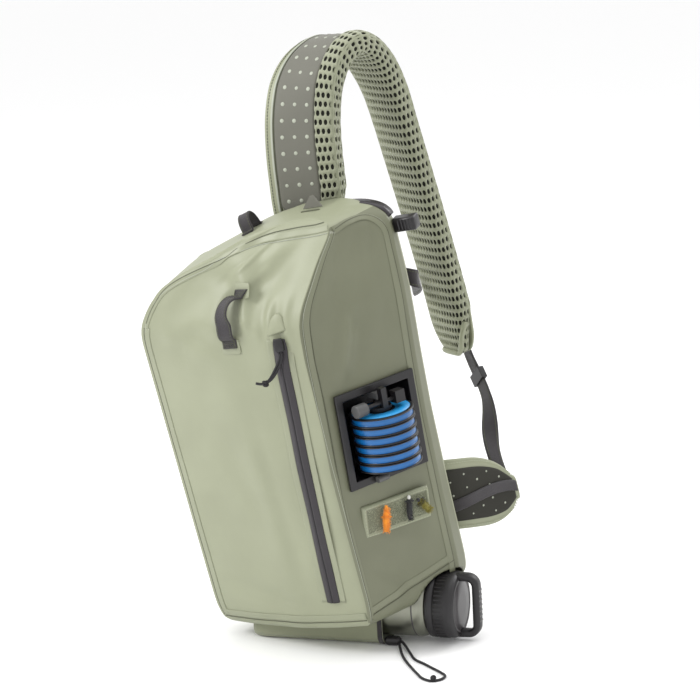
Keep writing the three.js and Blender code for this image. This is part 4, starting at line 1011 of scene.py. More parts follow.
# Webbing loops
WEBBING_THICK = 1.8
LOOP_LIFT = 0.8
LOOP_STITCH_INSET = 1.6
LOOP_STITCH_PITCH = 2.6


def loop_way(length, rise, foot):
    way = [(-length / 2 - foot, 0.0, 90.0), (-length / 2 - 1, 0.0, 105.0)]
    for angle in np.linspace(172, 8, 25):
        up = WEBBING_THICK + math.sin(math.radians(angle)) * (rise - WEBBING_THICK)
        way.append((math.cos(math.radians(angle)) * length / 2, up, angle))
    return way + [(length / 2 + 1, 0.0, 75.0), (length / 2 + foot, 0.0, 90.0)]


def make_loop(name, node, seat, length, rise, width, foot):
    """A band of webbing arched over its seat, a place for each distance along it."""
    rows = loop_way(length, rise, foot)
    places = []
    for along, lift, angle in rows:
        middle, right, up, out = seat(along)
        face = up * math.cos(math.radians(angle)) + out * math.sin(math.radians(angle))
        places.append((middle + out * (lift + LOOP_LIFT), right, face))
    sweep(name, places, flat_section(width, WEBBING_THICK, 0.0), WEBBING, replaces=(node,),
          slot="webbing")
    faces = [face for _, _, face in places]
    found = []
    for side in (-1, 1):
        edge = [p + right * side * (width / 2 - LOOP_STITCH_INSET) for p, right, _ in places]
        found += stitch_row(edge, faces, LOOP_STITCH_PITCH, WEBBING_THICK + 0.05)
    for side in (-1, 1):
        for k in range(4):
            middle, right, up, out = seat(side * (length / 2 + foot * (0.25 + 0.2 * k)))
            for j in range(-2, 3):
                spot = middle + out * (WEBBING_THICK + LOOP_LIFT + 0.05) + right * j * width * 0.17
                found.append(frame_matrix(spot, up, right, out))
    repeat(name + "_stitches", found, 0.6, 0.4, 1.9, SEAM)


def front_seat(along):
    return panel_frame(front_point, 0.585, 0.815 * HEIGHT + along)


make_loop("front_webbing_loop", "front_loop", front_seat, 34, 14, 16, 9)
for end, label in ((-1, "low"), (1, "high")):
    slab("front_loop_patch_" + label, rounded(21, 15, 3), front_seat(end * 25), -1.0, 0.7, TAPE, edge=0.5,
         slot="coated_fabric")
TOP_LOOP_UP = 0.982 * HEIGHT
TOP_LOOP_Y = 34.0
TOP_LOOP_SEAT = -0.6
top_lefts = [float(column("left", np.array(share * HEIGHT))) for share in (0.975, 0.982, 0.99)]
top_slope = unit(np.array([top_lefts[2] - top_lefts[0], 0, 0.015 * HEIGHT]))
top_out = np.array([-top_slope[2], 0, top_slope[0]])
top_middle = np.array([top_lefts[1], TOP_LOOP_Y, TOP_LOOP_UP]) + top_out * TOP_LOOP_SEAT


def top_seat(along):
    return top_middle - np.array([0, 1.0, 0]) * along, top_slope, np.array([0, -1.0, 0]), top_out


make_loop("top_webbing_loop", "top_loop", top_seat, 18, 16, 13, 5)


def make_top_tab():
    """The strap's gray tab standing up from its slot in the top."""
    x, y = 0.44 * HALF_WIDTH, 52.0
    points = [(x - 11, y, 400.6), (x + 9, y, 400.6), (x + 1, y + 4, 411), (x - 3, y + 4, 411)]
    points += [(a, b + 1.8, c) for a, b, c in points]
    faces = [(0, 1, 2, 3), (7, 6, 5, 4), (0, 4, 5, 1), (1, 5, 6, 2), (2, 6, 7, 3), (3, 7, 4, 0)]
    piece("top_tab", points, faces, BAG, PANEL, smooth=False, slot="webbing")
    place = (np.array([x, y - 9, 400.2]), np.array([1.0, 0, 0]), np.array([0, 1.0, 0]),
             np.array([0, 0, 1.0]))
    slab("top_slot", rounded(20, 3.4, 1.6), place, -0.6, 0.5, SEAM, edge=0.3, slot="coated_fabric")


make_top_tab()


# Main zip over the top's rear edge, and its dock
MAIN_ZIP_ROWS = [(0.34, 1.000), (0.62, 1.000), (0.82, 0.992), (0.935, 0.976), (0.99, 0.957), (1.0, 0.947)]
MAIN_ZIP_Y = HALF_DEPTH - 11


def make_main_zip():
    path, _ = spline([(x * HALF_WIDTH, MAIN_ZIP_Y, up * HEIGHT) for x, up in MAIN_ZIP_ROWS], 50)
    outs = unit(np.cross(ways(path), np.array([0, 1.0, 0])) * -1)
    places = [(p, np.array([0, 1.0, 0]), o) for p, o in zip(path, outs)]
    flank = [(7, 1.0), (7, 2.4), (6, 3.0), (2.2, 4.1), (0.5, 4.2), (0.25, 3.2)]
    section = flank + [(-a, b) for a, b in flank[::-1]]
    paint = groove_paint(len(places), len(section))
    sweep("main_zip_tape", places, section, [ZIP, ZIP_LINE], face_paint=paint, replaces=("main_zip",),
          slot="zip_tape")
    out, up, right = np.array([1.0, 0, 0]), np.array([0, 0, 1.0]), np.array([0, 1.0, 0])
    middle = np.array([1.008 * HALF_WIDTH + 11, MAIN_ZIP_Y, 0.9215 * HEIGHT])
    rounded_box("zip_dock", (16, 14, 22), 3.2, (middle, right, up, out), BLACK,
                replaces=("main_zip_dock",), slot="black_plastic")
    ribs = []
    for k in range(5):
        spot = middle + out * (k * 3.4 - 5.5) - right * 8.1
        ribs.append(frame_matrix(spot, out, up, -right))
    repeat("zip_dock_ribs", ribs, 1.3, 0.9, 10.5, BLACK)


make_main_zip()


# Arch strap: places along it as middle, right and out, the shell's way and everything on it
SEAT_GAP = 0.3
BACK_FACE = HALF_DEPTH + SEAT_GAP + BACK_PAD + SEAT_GAP
STRAP_BASE = np.array([STRAP_X, BACK_FACE + STRAP_SHELL, 0.0])
SPAN_WAY = np.array([math.cos(math.radians(STRAP_ANGLE)), math.sin(math.radians(STRAP_ANGLE)), 0.0])
UP_WAY = np.array([0.0, 0.0, 1.0])
# The strap's way as rows of span, height and twist
STRAP_ROWS = [
    (0, STRAP_FOOT, 0), (0, 355, 0), (0, 390, 0), (3, 412, 0), (7, 435, 0), (12, 458, 0.05),
    (20, 483, 0.12), (33, 508, 0.25), (50, 525, 0.45), (70, 535, 0.7), (93, 537, 0.95),
    (113, 525, 1.15), (128, 502, 1.3), (137, 471, 1.45), (140, 440, 1.54),
]
TWIST_REACH = 20.0
LEG_STEPS = 6
STRAP_STEPS = 40


def strap_place(span, z, way_span, way_up, twist):
    flat = unit(np.array([0, 1.0, 0]) * (1 - twist) + SPAN_WAY * twist)
    way = unit(SPAN_WAY * way_span + UP_WAY * way_up)
    right = np.array([flat[1], -flat[0], 0])
    right = unit(right - way * np.dot(right, way))
    middle = STRAP_BASE + SPAN_WAY * span
    middle[2] = z
    return middle, right, unit(np.cross(right, way))


def strap_stations():
    rows = list(STRAP_ROWS)
    span, up, twist = STRAP_ROWS[-1]
    for i in range(1, LEG_STEPS + 1):
        t = i / LEG_STEPS
        rows.append((span + STRAP_DRIFT * math.sin(t * math.pi / 2), up + (STRAP_END - up) * t, twist))
    path, _ = spline([(a, b, c * TWIST_REACH) for a, b, c in rows], 4 * STRAP_STEPS + 1)
    along = ways(path)
    return [strap_place(p[0], p[1], w[0], w[1], p[2] / TWIST_REACH) for p, w in zip(path, along)][::4]


STATIONS = strap_stations()
STATION_GONE = lengths_along([station[0] for station in STATIONS])
STRAP_LONG = STATION_GONE[-1]


def strap_at(gone):
    """Place on the strap after so many mm of it, between its stations, with a smooth middle."""
    gone = float(np.clip(gone, 0, STRAP_LONG))
    k = int(np.clip(np.searchsorted(STATION_GONE, gone) - 1, 0, len(STATIONS) - 2))
    t = (gone - STATION_GONE[k]) / (STATION_GONE[k + 1] - STATION_GONE[k])
    a, b, c, d = [STATIONS[int(np.clip(k + s, 0, len(STATIONS) - 1))] for s in (-1, 0, 1, 2)]
    middle = 0.5 * (2 * b[0] + (c[0] - a[0]) * t + (2 * a[0] - 5 * b[0] + 4 * c[0] - d[0]) * t ** 2
                    + (3 * b[0] - a[0] - 3 * c[0] + d[0]) * t ** 3)
    right = unit(b[1] * (1 - t) + c[1] * t)
    out = unit(b[2] * (1 - t) + c[2] * t)
    out = unit(out - right * np.dot(out, right))
    return middle, right, out


def strap_taper(gone, width):
    """Half width of the strap there: its lower end narrows and rounds off."""
    left = STRAP_LONG - gone
    round_end = math.sqrt(max(0.0, 1 - max(0.0, 1 - left / 30.0) ** 2.4))
    return width / 2 * max(0.12, 0.80 + 0.20 * smoothstep(left, 0, 60)) * max(0.25, round_end)


# What runs along the strap: where it starts, and how much of the strap is left where it ends
SHELL_STEP = 3.0
PANEL_FROM, PANEL_LEFT = 66, 20
PIPING_FROM, PIPING_LEFT = 30, 16
DOTS_FROM, DOTS_LEFT = 82, 40
EDGE_STITCH_FROM, EDGE_STITCH_LEFT = 6, 14
EDGE_STITCH_SHARE = -0.93
DOT_PITCH = 15.5
DOT_SHARES = (-0.48, -0.12, 0.24)


def make_strap_shell():
    run = np.arange(0, STRAP_LONG, SHELL_STEP)
    places = [strap_at(g) for g in run]
    count = 26

    def skin(t):
        gone = t * run[-1]
        half = strap_taper(gone, STRAP_WIDTH)
        section = []
        for i in range(count):
            u = 1 - 2 * i / (count - 1)
            crown = 0.6 * (1 - abs(u) ** 6)
            ripple = 0.35 * math.sin(gone / 17.0 + 2.0 * u) * (1 - u * u)
            section.append((half * u, STRAP_SHELL - 0.9 + crown + ripple))
        low = [(a, 0.0) for a, _ in section[::-1]]
        return section + low
    sweep("strap_outer", places, skin, [SAGE], replaces=("strap_shell",), slot="coated_fabric")
    # the gray panel over its middle, its dots and the piping on its left
    panel_run = [strap_at(g) for g in np.arange(PANEL_FROM, STRAP_LONG - PANEL_LEFT, SHELL_STEP)]

    def panel(t):
        gone = PANEL_FROM + t * (STRAP_LONG - PANEL_FROM - PANEL_LEFT)
        half = strap_taper(gone, STRAP_WIDTH)
        left, right = -half * 0.72, half * 0.46
        ends = math.sqrt(max(0.02, 1 - max(0.0, 1 - (gone - PANEL_FROM) / 16.0) ** 2))
        middle = (left + right) / 2
        reach = (right - left) / 2 * ends
        top = []
        for i in range(16):
            u = 1 - 2 * i / 15
            top.append((middle + reach * u, STRAP_SHELL + 0.45 + 0.35 * (1 - abs(u) ** 8)))
        return top + [(a, STRAP_SHELL - 0.8) for a, _ in top[::-1]]
    sweep("strap_gray_panel", panel_run, panel, PANEL, slot="coated_fabric")
    for name, share, width, paint, high in (("piping", -0.79, 2.4, BRIGHT, 1.1),
                                            ("seam", -0.73, 1.4, SEAM, 0.9)):
        path = []
        for g in np.arange(PIPING_FROM, STRAP_LONG - PIPING_LEFT, SHELL_STEP):
            middle, right, out = strap_at(g)
            path.append((middle + right * strap_taper(g, STRAP_WIDTH) * share, right, out))
        sweep("strap_" + name, path, flat_section(width, high, STRAP_SHELL - 0.1, 0.45), paint,
              slot="coated_fabric")
    # the pale dots are painted light: the bright backdrop seen through the panel's perforations
    dots = []
    for g in np.arange(DOTS_FROM, STRAP_LONG - DOTS_LEFT, DOT_PITCH):
        middle, right, out = strap_at(g)
        half = strap_taper(g, STRAP_WIDTH)
        for share in DOT_SHARES:
            spot = middle + right * share * half + out * (STRAP_SHELL + 0.8)
            dots.append(frame_matrix(spot, right, np.cross(out, right), out))
    repeat("strap_panel_dots", dots, 4.4, 0.7, 4.4, BRIGHT, shape="dot", jitter=0.15)
    path, outs = [], []
    for g in np.arange(EDGE_STITCH_FROM, STRAP_LONG - EDGE_STITCH_LEFT, SHELL_STEP):
        middle, right, out = strap_at(g)
        path.append(middle + right * strap_taper(g, STRAP_WIDTH) * EDGE_STITCH_SHARE)
        outs.append(out)
    stitches = stitch_row(path, outs, STITCH_PITCH, STRAP_SHELL - 0.45)
    repeat("strap_edge_stitches", stitches, *STITCH_SIZE, SEAM)


make_strap_shell()


# The spacer mesh pad under the shell: a core painted near black as the shade in its holes, in a net of
# real holes
PAD_FROM = STATION_GONE[5] - 17
PAD_LONG = STRAP_LONG - PAD_FROM
PAD_WIDTH = STRAP_WIDTH - 6
NET_THICK = 1.3
HOLE_PITCH_ALONG = 9.0
HOLE_ROWS_ROUND = 30
HOLE_LONG = 6.0


def pad_thick(t):
    ends = min(1.0, 0.55 + 0.45 * smoothstep(t, 0.0, 0.06)) * (0.7 + 0.3 * smoothstep(1 - t, 0.0, 0.06))
    return STRAP_PAD * (1.15 + (0.8 - 1.15) * t) * ends


PAD_SHIFT = 5.5
PAD_ROLL = 4.6


def pad_ring(c, s, half, thick, share):
    """Side and height of the pad's section, rolled over the shell's right edge by share."""
    side = squared(c, 0.6) * half
    rise = squared(s, 0.7) * thick
    over = smoothstep(side, 0.26 * half, 0.44 * half) * smoothstep(s, 0.0, 0.55)
    return side + PAD_SHIFT * share, rise + over * (STRAP_SHELL + PAD_ROLL) * share


def round_angles():
    """Angles at even steps round a middling section of the pad, so that its cells come out alike."""
    angles = np.linspace(0, 2 * math.pi, 721)
    ring = np.array([pad_ring(math.cos(a), math.sin(a), PAD_WIDTH / 2, STRAP_PAD / 2, 1.0)
                     for a in angles])
    gone = lengths_along(ring)
    return angles, gone / gone[-1]


ROUND_ANGLES, ROUND_GONE = round_angles()


def pad_point(t, round_share, inset=0.0):
    """A point on the pad's skin: t along it, round_share once round its section from its right edge."""
    gone = PAD_FROM + t * PAD_LONG
    middle, right, out = strap_at(gone)
    left = STRAP_LONG - gone
    end = math.sqrt(max(0.03, 1 - max(0.0, 1 - left / 16.0) ** 2))
    end = end * (0.75 + 0.25 * smoothstep(left, 0, 55))
    half = (PAD_WIDTH / 2 - 1.0) * end - inset
    thick = pad_thick(t) / 2 - inset
    angle = np.interp(round_share % 1.0, ROUND_GONE, ROUND_ANGLES)
    share = smoothstep(t, 0.0, 0.05) * smoothstep(left, 6, 60)
    side, rise = pad_ring(math.cos(angle), math.sin(angle), half, thick, share)
    return middle + right * side + out * (-0.3 - pad_thick(t) / 2 + rise)


def make_pad():
    count, rings = 28, 110
    points = [pad_point(i / (rings - 1), j / count, NET_THICK) for i in range(rings)
              for j in range(count)]
    core = piece("pad_core", capped(points, count), ring_faces(rings, count), BAG, HOLE_SHADE,
                 slot="spacer_mesh")
    # each cell of the net is an oval hole in a square whose corners meet its neighbours'
    columns = int(PAD_LONG / HOLE_PITCH_ALONG)
    found, faces = [], []
    sides = 8
    for i in range(columns):
        for j in range(HOLE_ROWS_ROUND):
            shift = 0.5 if i % 2 else 0.0
            base = len(found)
            t0, r0 = (i + 0.5) / columns, (j + 0.5 + shift) / HOLE_ROWS_ROUND
            wide, long = 0.5 / HOLE_ROWS_ROUND, 0.5 / columns
            corners = [(1, 0), (1, 1), (0, 1), (-1, 1), (-1, 0), (-1, -1), (0, -1), (1, -1)]
            for level in (0.0, NET_THICK * 0.5):
                for a, b in corners:
                    found.append(pad_point(np.clip(t0 + a * long, 0, 1), r0 + b * wide, level))
            hole_wide = wide * 0.76
            hole_long = long * HOLE_LONG / HOLE_PITCH_ALONG
            for level in (0.15, NET_THICK):
                for k in range(sides):
                    angle = 2 * math.pi * k / sides
                    found.append(pad_point(np.clip(t0 + math.cos(angle) * hole_long, 0, 1),
                                           r0 + math.sin(angle) * hole_wide, level))
            for k in range(sides):
                n = (k + 1) % sides
                faces.append((base + k, base + n, base + 16 + n, base + 16 + k))
                faces.append((base + 16 + k, base + 16 + n, base + 24 + n, base + 24 + k))
    net = np.array(found)
    keep = piece("pad_net", net, faces, BAG, MESH, replaces=("strap_pad",), slot="spacer_mesh")
    # a bound rim along the pad's left edge and round its lower end
    path = [pad_point(t, 0.52, -0.6) for t in np.linspace(0.01, 0.985, 240)]
    sweep("pad_rim_left", tube_places(np.array(path), (0.3, 0.5, 0.8)), round_section(2.6, 10), SAGE,
          slot="coated_fabric")
    path = [pad_point(0.93 + 0.062 * min(1.0, 6 * r), 1.0 - 0.46 * r, -0.8)
            for r in np.linspace(0, 1, 40)]
    sweep("pad_rim_end", tube_places(np.array(path), (0.3, 0.5, 0.8)), round_section(2.9, 10), SAGE,
          slot="coated_fabric")


make_pad()


# Webbings, their keeper and the hip wing
WING_REACH = 104.0
WING_HEIGHT = 76.0
WING_THICK = 10.0
WEBBING_WIDTH = 17.0
WING_ROOT = np.array([86.0, BACK_FACE + WING_THICK / 2, 75.0])
WING_START_WAY = np.array([1.0, 0.02, -0.05])
WING_END_WAY = np.array([0.52, 0.854, -0.32])


def wing_place(t):
    steps = 12
    middle = WING_ROOT.copy()
    for k in range(steps):
        bend = smoothstep(t * (k + 0.5) / steps, 0, 0.45)
        way = unit(WING_START_WAY * (1 - bend) + WING_END_WAY * bend)
        middle = middle + way * (t * WING_REACH / steps)
    return middle, way, unit((way[1], -way[0], 0))


def wing_half(t):
    return WING_HEIGHT / 2 * math.sqrt(max(0.12, 1 - max(0.0, (t - 0.45) / 0.55) ** 2.2))


def wing_point(t, rise, side):
    """rise is -1 to 1 up the wing, side -1 to 1 through it with 1 towards the viewer."""
    middle, _, out = wing_place(t)
    bulge = 1 - 0.35 * abs(rise) ** 5
    return middle + UP_WAY * rise * wing_half(t) + out * side * WING_THICK / 2 * bulge


LINING_FROM = 0.14
LINING_TO = 0.945
THIN_SHEET = 0.0012


def make_wing():
    rings, count = 56, 40
    points = []
    for i in range(rings):
        for j in range(count):
            angle = 2 * math.pi * j / count
            c, s = math.cos(angle), math.sin(angle)
            points.append(wing_point(i / (rings - 1), squared(s, 0.5), squared(c, 0.5) * 0.86))
    body = piece("wing_body", capped(points, count), ring_faces(rings, count), BAG, [SAGE],
                 replaces=("hip_wing",), slot="coated_fabric")
    # perforated lining set in the sage rim, on the side that faces the viewer; its gray is painted nearly
    # black as painted shade where the bag's body shades it
    found, faces = [], []
    across, along = 20, 44
    for i in range(along):
        t = LINING_FROM + (LINING_TO - LINING_FROM) * i / (along - 1)
        share = 0.74 if t < 0.8 else 0.74 - 0.9 * (t - 0.8)
        for j in range(across):
            rise = (2 * j / (across - 1) - 1) * share
            edge = min(1.0, (1 - abs(rise / share)) * 6, (along - 1 - i) * 0.6 + 0.1)
            found.append(wing_point(t, rise, 0.96) + wing_place(t)[2] * 0.45 * edge)
    for i in range(along - 1):
        for j in range(across - 1):
            a = i * across + j
            faces.append((a, a + 1, a + across + 1, a + across))
    lining = piece("wing_lining", found, faces, BAG, SHADED_PANEL, slot="coated_fabric")
    thick = lining.modifiers.new("thick", "SOLIDIFY")
    thick.thickness = THIN_SHEET
    thick.offset = -1
    # the pale dots are painted light: the bright backdrop seen through the lining's perforations
    dots = []
    for row in range(6):
        t = 0.22 + 0.14 * row
        _, way, out = wing_place(t)
        for k in range(-2, 3):
            rise = (k + (0.5 if row % 2 else 0.0)) * 14.5 / max(1.0, wing_half(t))
            if abs(rise) < 0.66 and t < 0.93 - 0.05 * abs(k):
                spot = wing_point(t, rise, 0.96) + out * 0.5
                dots.append(frame_matrix(spot, way, unit(np.cross(out, way)), out))
    repeat("wing_lining_dots", dots, 2.6, 0.6, 2.6, BRIGHT, shape="dot", jitter=0.25)
    band = []
    for t in np.linspace(0.2, 0.97, 60):
        out = wing_place(t)[2]
        sag = -0.30 + 0.5 * math.sin((t - 0.2) * 1.7)
        spot = wing_point(t, sag, 0.96) + out * 0.6
        band.append((spot, UP_WAY, out))
    sweep("wing_band", band, flat_section(12, 1.6, 0.0), WEBBING, slot="webbing")
    rim, outs = [], []
    for rise, start, end in ((0.91, 0.12, 0.97), (-0.91, 0.97, 0.12)):
        for t in np.linspace(start, end, 70):
            rim.append(wing_point(t, rise, 0.9))
            outs.append(wing_place(t)[2])
    repeat("wing_rim_stitches", stitch_row(rim, outs, STITCH_PITCH, 0.4), *STITCH_SIZE, STITCH)


# The strap panel's gray darkened almost to black: painted shade on the wing's lining
SHADED_PANEL = shade("lining_painted_shade", (0.016, 0.015, 0.009), 0.75, grain=(1500, 0.45), tint=0.1)
make_wing()


RIDGE_INSET = 2.2
RIDGE_PITCH = 2.8


def make_webbing(name, node, path, first, last, width):
    along = ways(path)
    places = []
    for i, (middle, way) in enumerate(zip(path, along)):
        mix = smoothstep(i / (len(path) - 1), 0.4, 0.9)
        side = first * (1 - mix) + last * mix
        side = unit(side - way * np.dot(side, way))
        places.append((middle, side, unit(np.cross(way, side))))
    sweep(name, places, flat_section(width, WEBBING_THICK, -WEBBING_THICK / 2), WEBBING,
          replaces=(node,), slot="webbing")
    rows = []
    for side in (-1, 1):
        edge = [m + r * side * (width / 2 - RIDGE_INSET) for m, r, _ in places]
        for face in (-1, 1):
            rows += stitch_row(edge, [o * face for _, _, o in places], RIDGE_PITCH, WEBBING_THICK / 2)
    repeat(name + "_ridges", rows, 0.7, 0.4, 2.0, SEAM)


STRAP_TIP = STATIONS[-1]
WING_TIP = wing_place(0.93)
webbing_start = STRAP_TIP[0] + STRAP_TIP[2] * (STRAP_SHELL + WEBBING_THICK / 2 + 0.6)
webbing_start[2] = STRAP_END + 22
webbing_end = WING_TIP[0] - WING_TIP[2] * (WING_THICK / 2 + WEBBING_THICK + 1.2)
webbing_drop = webbing_end - webbing_start
STRAP_WEBBING = [
    webbing_start, webbing_start + STRAP_TIP[2] * 3 + (0, 0, -30),
    webbing_start + webbing_drop * 0.45 + (4, 9, 0),
    webbing_end - WING_TIP[2] * 5 + (0, 0, 42), webbing_end,
]
make_webbing("lower_webbing", "strap_webbing", spline(STRAP_WEBBING, 90)[0], STRAP_TIP[1], WING_TIP[1],
             WEBBING_WIDTH)
FAR_LEG = STATIONS[30]
stabilizer_start = np.array([HALF_WIDTH * 0.86, HALF_DEPTH + 2.2, 0.79 * HEIGHT])
stabilizer_end = FAR_LEG[0] - FAR_LEG[1] * STRAP_WIDTH * 0.30 - FAR_LEG[2] * (STRAP_PAD + 3.5)
stabilizer_end[2] = 0.66 * HEIGHT
STABILIZER = [
    stabilizer_start, stabilizer_start + (20, 1.5, -9),
    stabilizer_start + (stabilizer_end - stabilizer_start) * 0.55 + (9, -6, -10), stabilizer_end,
]
make_webbing("upper_webbing", "stabilizer_webbing", spline(STABILIZER, 60)[0], UP_WAY, UP_WAY,
             WEBBING_WIDTH)


# Hard pieces kept from the frame: welded, bevelled and painted
def dress(node, paint, width=0.6, smooth=True):
    obj = bpy.data.objects[node]
    weld = obj.modifiers.new("weld", "WELD")
    weld.merge_threshold = 0.00002
    bevel = obj.modifiers.new("bevel", "BEVEL")
    bevel.width = width * MM
    bevel.segments = 3
    bevel.limit_method = "ANGLE"
    bevel.angle_limit = math.radians(32)
    bevel.harden_normals = False
    obj.data.materials.clear()
    obj.data.materials.append(paint)
    if smooth:
        obj.data.polygons.foreach_set("use_smooth", [True] * len(obj.data.polygons))
        even = obj.modifiers.new("normals", "WEIGHTED_NORMAL")
        even.keep_sharp = True


for node, paint, slot, width in (
    ("port_frame", BLACK, "black_plastic", 1.0), ("spool_bar", GRAY, "gray_plastic", 0.5),
    ("spool_clamp", BLACK, "black_plastic", 0.9), ("clamp_knob", GRAY, "gray_plastic", 0.8),
    ("foot_knob", GRAY, "gray_plastic", 0.6), ("webbing_keeper", BLACK, "black_plastic", 0.7),
    ("cord_lock", BLACK, "black_plastic", 0.3),
):
    dress(node, paint, width)


# Spool holder's frame: across the port, up it and out of it
PORT_SEAT = 0.9
PORT_FRAME = (
    np.array(PORT.translation) + np.array(PORT.col[2][:3]) * PORT_SEAT, np.array(PORT.col[0][:3]),
    np.array(PORT.col[1][:3]), np.array(PORT.col[2][:3]),
)
SPOOL_PITCH = SPOOL_THICK + 0.3
SPOOL_OUT = 7.0
STACK_LOW = -(PORT_HEIGHT - 16) / 2 + 6 + 0.6
BAR_BORE = 4.0
# Half of a spool's turned section: height from its middle and radius; the blue drum holds the line
SPOOL_HALF = [
    (-4.5, BAR_BORE), (-4.5, 29.5), (-4.2, 31.6), (-3.7, 32.0), (-3.0, 31.6), (-2.8, 30.4), (-2.5, 29.6),
    (-1.5, 29.9),
]
SPOOL_PROFILE = SPOOL_HALF + [(0.0, 30.1)] + [(-up, radius) for up, radius in SPOOL_HALF[::-1]]
DRUM_RINGS = (5, 6, 7, 8, 9, 10)


def port_point(side, up, out):
    middle, right, way, away = PORT_FRAME
    return middle + right * side + way * up + away * out


SPOOL_SIDES = 72
# Label and tag on the top spool: radii, first and last of the sides they cover, paint and lift
SPOOL_RINGS = (
    ("spool_label", 14.0, 28.5, 0, SPOOL_SIDES, LABEL, 0.0),
    ("spool_tag", 15.5, 22.0, 38, 46, BEAD, 0.12),
)


def make_spools():
    sides, rows = SPOOL_SIDES, len(SPOOL_PROFILE)
    for number in range(6):
        height = STACK_LOW + SPOOL_PITCH * (number + 0.5)
        points = []
        for up, radius in SPOOL_PROFILE:
            for k in range(sides):
                angle = 2 * math.pi * k / sides
                points.append(port_point(math.cos(angle) * radius, height + up,
                                         SPOOL_OUT + math.sin(angle) * radius))
        faces, paint = [], []
        for i in range(rows):
            for k in range(sides):
                n = (k + 1) % sides
                j = (i + 1) % rows
                faces.append((i * sides + k, i * sides + n, j * sides + n, j * sides + k))
                paint.append(1 if i in DRUM_RINGS else 0)
        piece(f"line_spool_{number + 1}", points, faces, BAG, [FLANGE, BLUE], body=SPOOLS,
              face_paint=paint, replaces=(f"spool_{number + 1}",), slot="spool_plastic")
    top = STACK_LOW + SPOOL_PITCH * 6 - 0.3
    for name, inner, outer, start, end, paint, low in SPOOL_RINGS:
        points, faces = [], []
        for k in range(start, end + 1):
            angle = 2 * math.pi * k / SPOOL_SIDES
            for radius in (inner, outer):
                points.append(port_point(math.cos(angle) * radius, top + low + 0.5,
                                         SPOOL_OUT + math.sin(angle) * radius))
        for k in range(end - start):
            faces.append((2 * k, 2 * k + 1, 2 * k + 3, 2 * k + 2))
        ring = piece(name, points, faces, BAG, paint, body=SPOOLS, slot="spool_plastic")
        thick = ring.modifiers.new("thick", "SOLIDIFY")
        thick.thickness = 0.0002


make_spools()


# Felt patch with its stitched rim, and the three flies
PATCH_WIDTH = 78.0
PATCH_HEIGHT = 33.0
PATCH_THICK = 3.0
PATCH_UP = 101.0
PATCH_LIFT = 0.9
PATCH_SKEW = -5.5
FELT_FIBRES = 1500
patch_middle, patch_right, patch_up, patch_out = panel_frame(side_point, 0.485, PATCH_UP)
SKEW = math.radians(PATCH_SKEW)
patch_right, patch_up = (
    patch_right * math.cos(SKEW) + patch_up * math.sin(SKEW),
    patch_up * math.cos(SKEW) - patch_right * math.sin(SKEW))


def patch_point(across, up, lift):
    """across and up are shares of the half sizes, lift is over the patch's own base."""
    flat = patch_middle + patch_right * across * PATCH_WIDTH / 2 + patch_up * up * PATCH_HEIGHT / 2
    return flat + patch_out * (PATCH_LIFT + lift)


def make_patch():
    across, up = 71, 35
    found, faces = [], []
    random = np.random.default_rng(11)
    fuzz = random.normal(0, 0.10, (across, up))
    for i in range(across):
        for j in range(up):
            a, b = 2 * i / (across - 1) - 1, 2 * j / (up - 1) - 1
            inside = min((1 - abs(a)) * PATCH_WIDTH / 2, (1 - abs(b)) * PATCH_HEIGHT / 2)
            rim = smoothstep(inside, 0, 1.2) * (1 - 0.28 * smoothstep(inside, 3.6, 4.8))
            sag = -0.35 * math.sin(a * 3 + 1) * math.cos(b * 2)
            corner = 1 - 0.03 * (abs(a) * abs(b)) ** 8
            lift = PATCH_THICK * (0.25 + 0.75 * rim) + (fuzz[i, j] + sag) * (inside > 5)
            found.append(patch_point(a * corner, b * corner, lift))
    for i in range(across - 1):
        for j in range(up - 1):
            k = i * up + j
            faces.append((k, k + up, k + up + 1, k + 1))
    edge = [i * up for i in range(across)] + [(across - 1) * up + j for j in range(1, up)]
    edge += [i * up + up - 1 for i in range(across - 2, -1, -1)] + [j for j in range(up - 2, 0, -1)]
    start = len(found)
    for k in edge:
        i, j = divmod(k, up)
        a, b = 2 * i / (across - 1) - 1, 2 * j / (up - 1) - 1
        found.append(patch_point(a, b, -0.4))
    for n in range(len(edge)):
        m = (n + 1) % len(edge)
        faces.append((edge[n], start + n, start + m, edge[m]))
    faces.append(tuple(start + n for n in range(len(edge)))[::-1])
    paint = []
    for face in faces:
        near = np.array(found[face[0]]) - np.array(patch_middle)
        a, b = abs(near @ patch_right), abs(near @ patch_up)
        paint.append(1 if min(PATCH_WIDTH / 2 - a, PATCH_HEIGHT / 2 - b) < 4.2 else 0)
    piece("felt_patch", found, faces, BAG, [FELT, TAPE], face_paint=paint, replaces=("fly_patch",),
          slot="felt")
    border = rounded(PATCH_WIDTH - 4.6, PATCH_HEIGHT - 4.6, 3.0)
    path = []
    for a, b in border + border[:1]:
        path.append(patch_point(a * 2 / PATCH_WIDTH, b * 2 / PATCH_HEIGHT, PATCH_THICK))
    repeat("felt_patch_stitches", stitch_row(path, [patch_out] * len(path), STITCH_PITCH, 0.12),
           *STITCH_SIZE, STITCH)
    fuzz = []
    for _ in range(FELT_FIBRES):
        a, b = random.uniform(-0.86, 0.86), random.uniform(-0.72, 0.72)
        turn = random.uniform(0, 2 * math.pi)
        lean = random.uniform(0.05, 0.5)
        way = unit(patch_right * math.cos(turn) + patch_up * math.sin(turn) + patch_out * lean)
        right = unit(np.cross(way, patch_out))
        fuzz.append(frame_matrix(patch_point(a, b, PATCH_THICK * 0.72 + 0.25), right, way,
                                 np.cross(right, way)))
    repeat("felt_patch_fuzz", fuzz, 0.22, 0.22, 3.0, STITCH, seed=3, jitter=0.6)


make_patch()
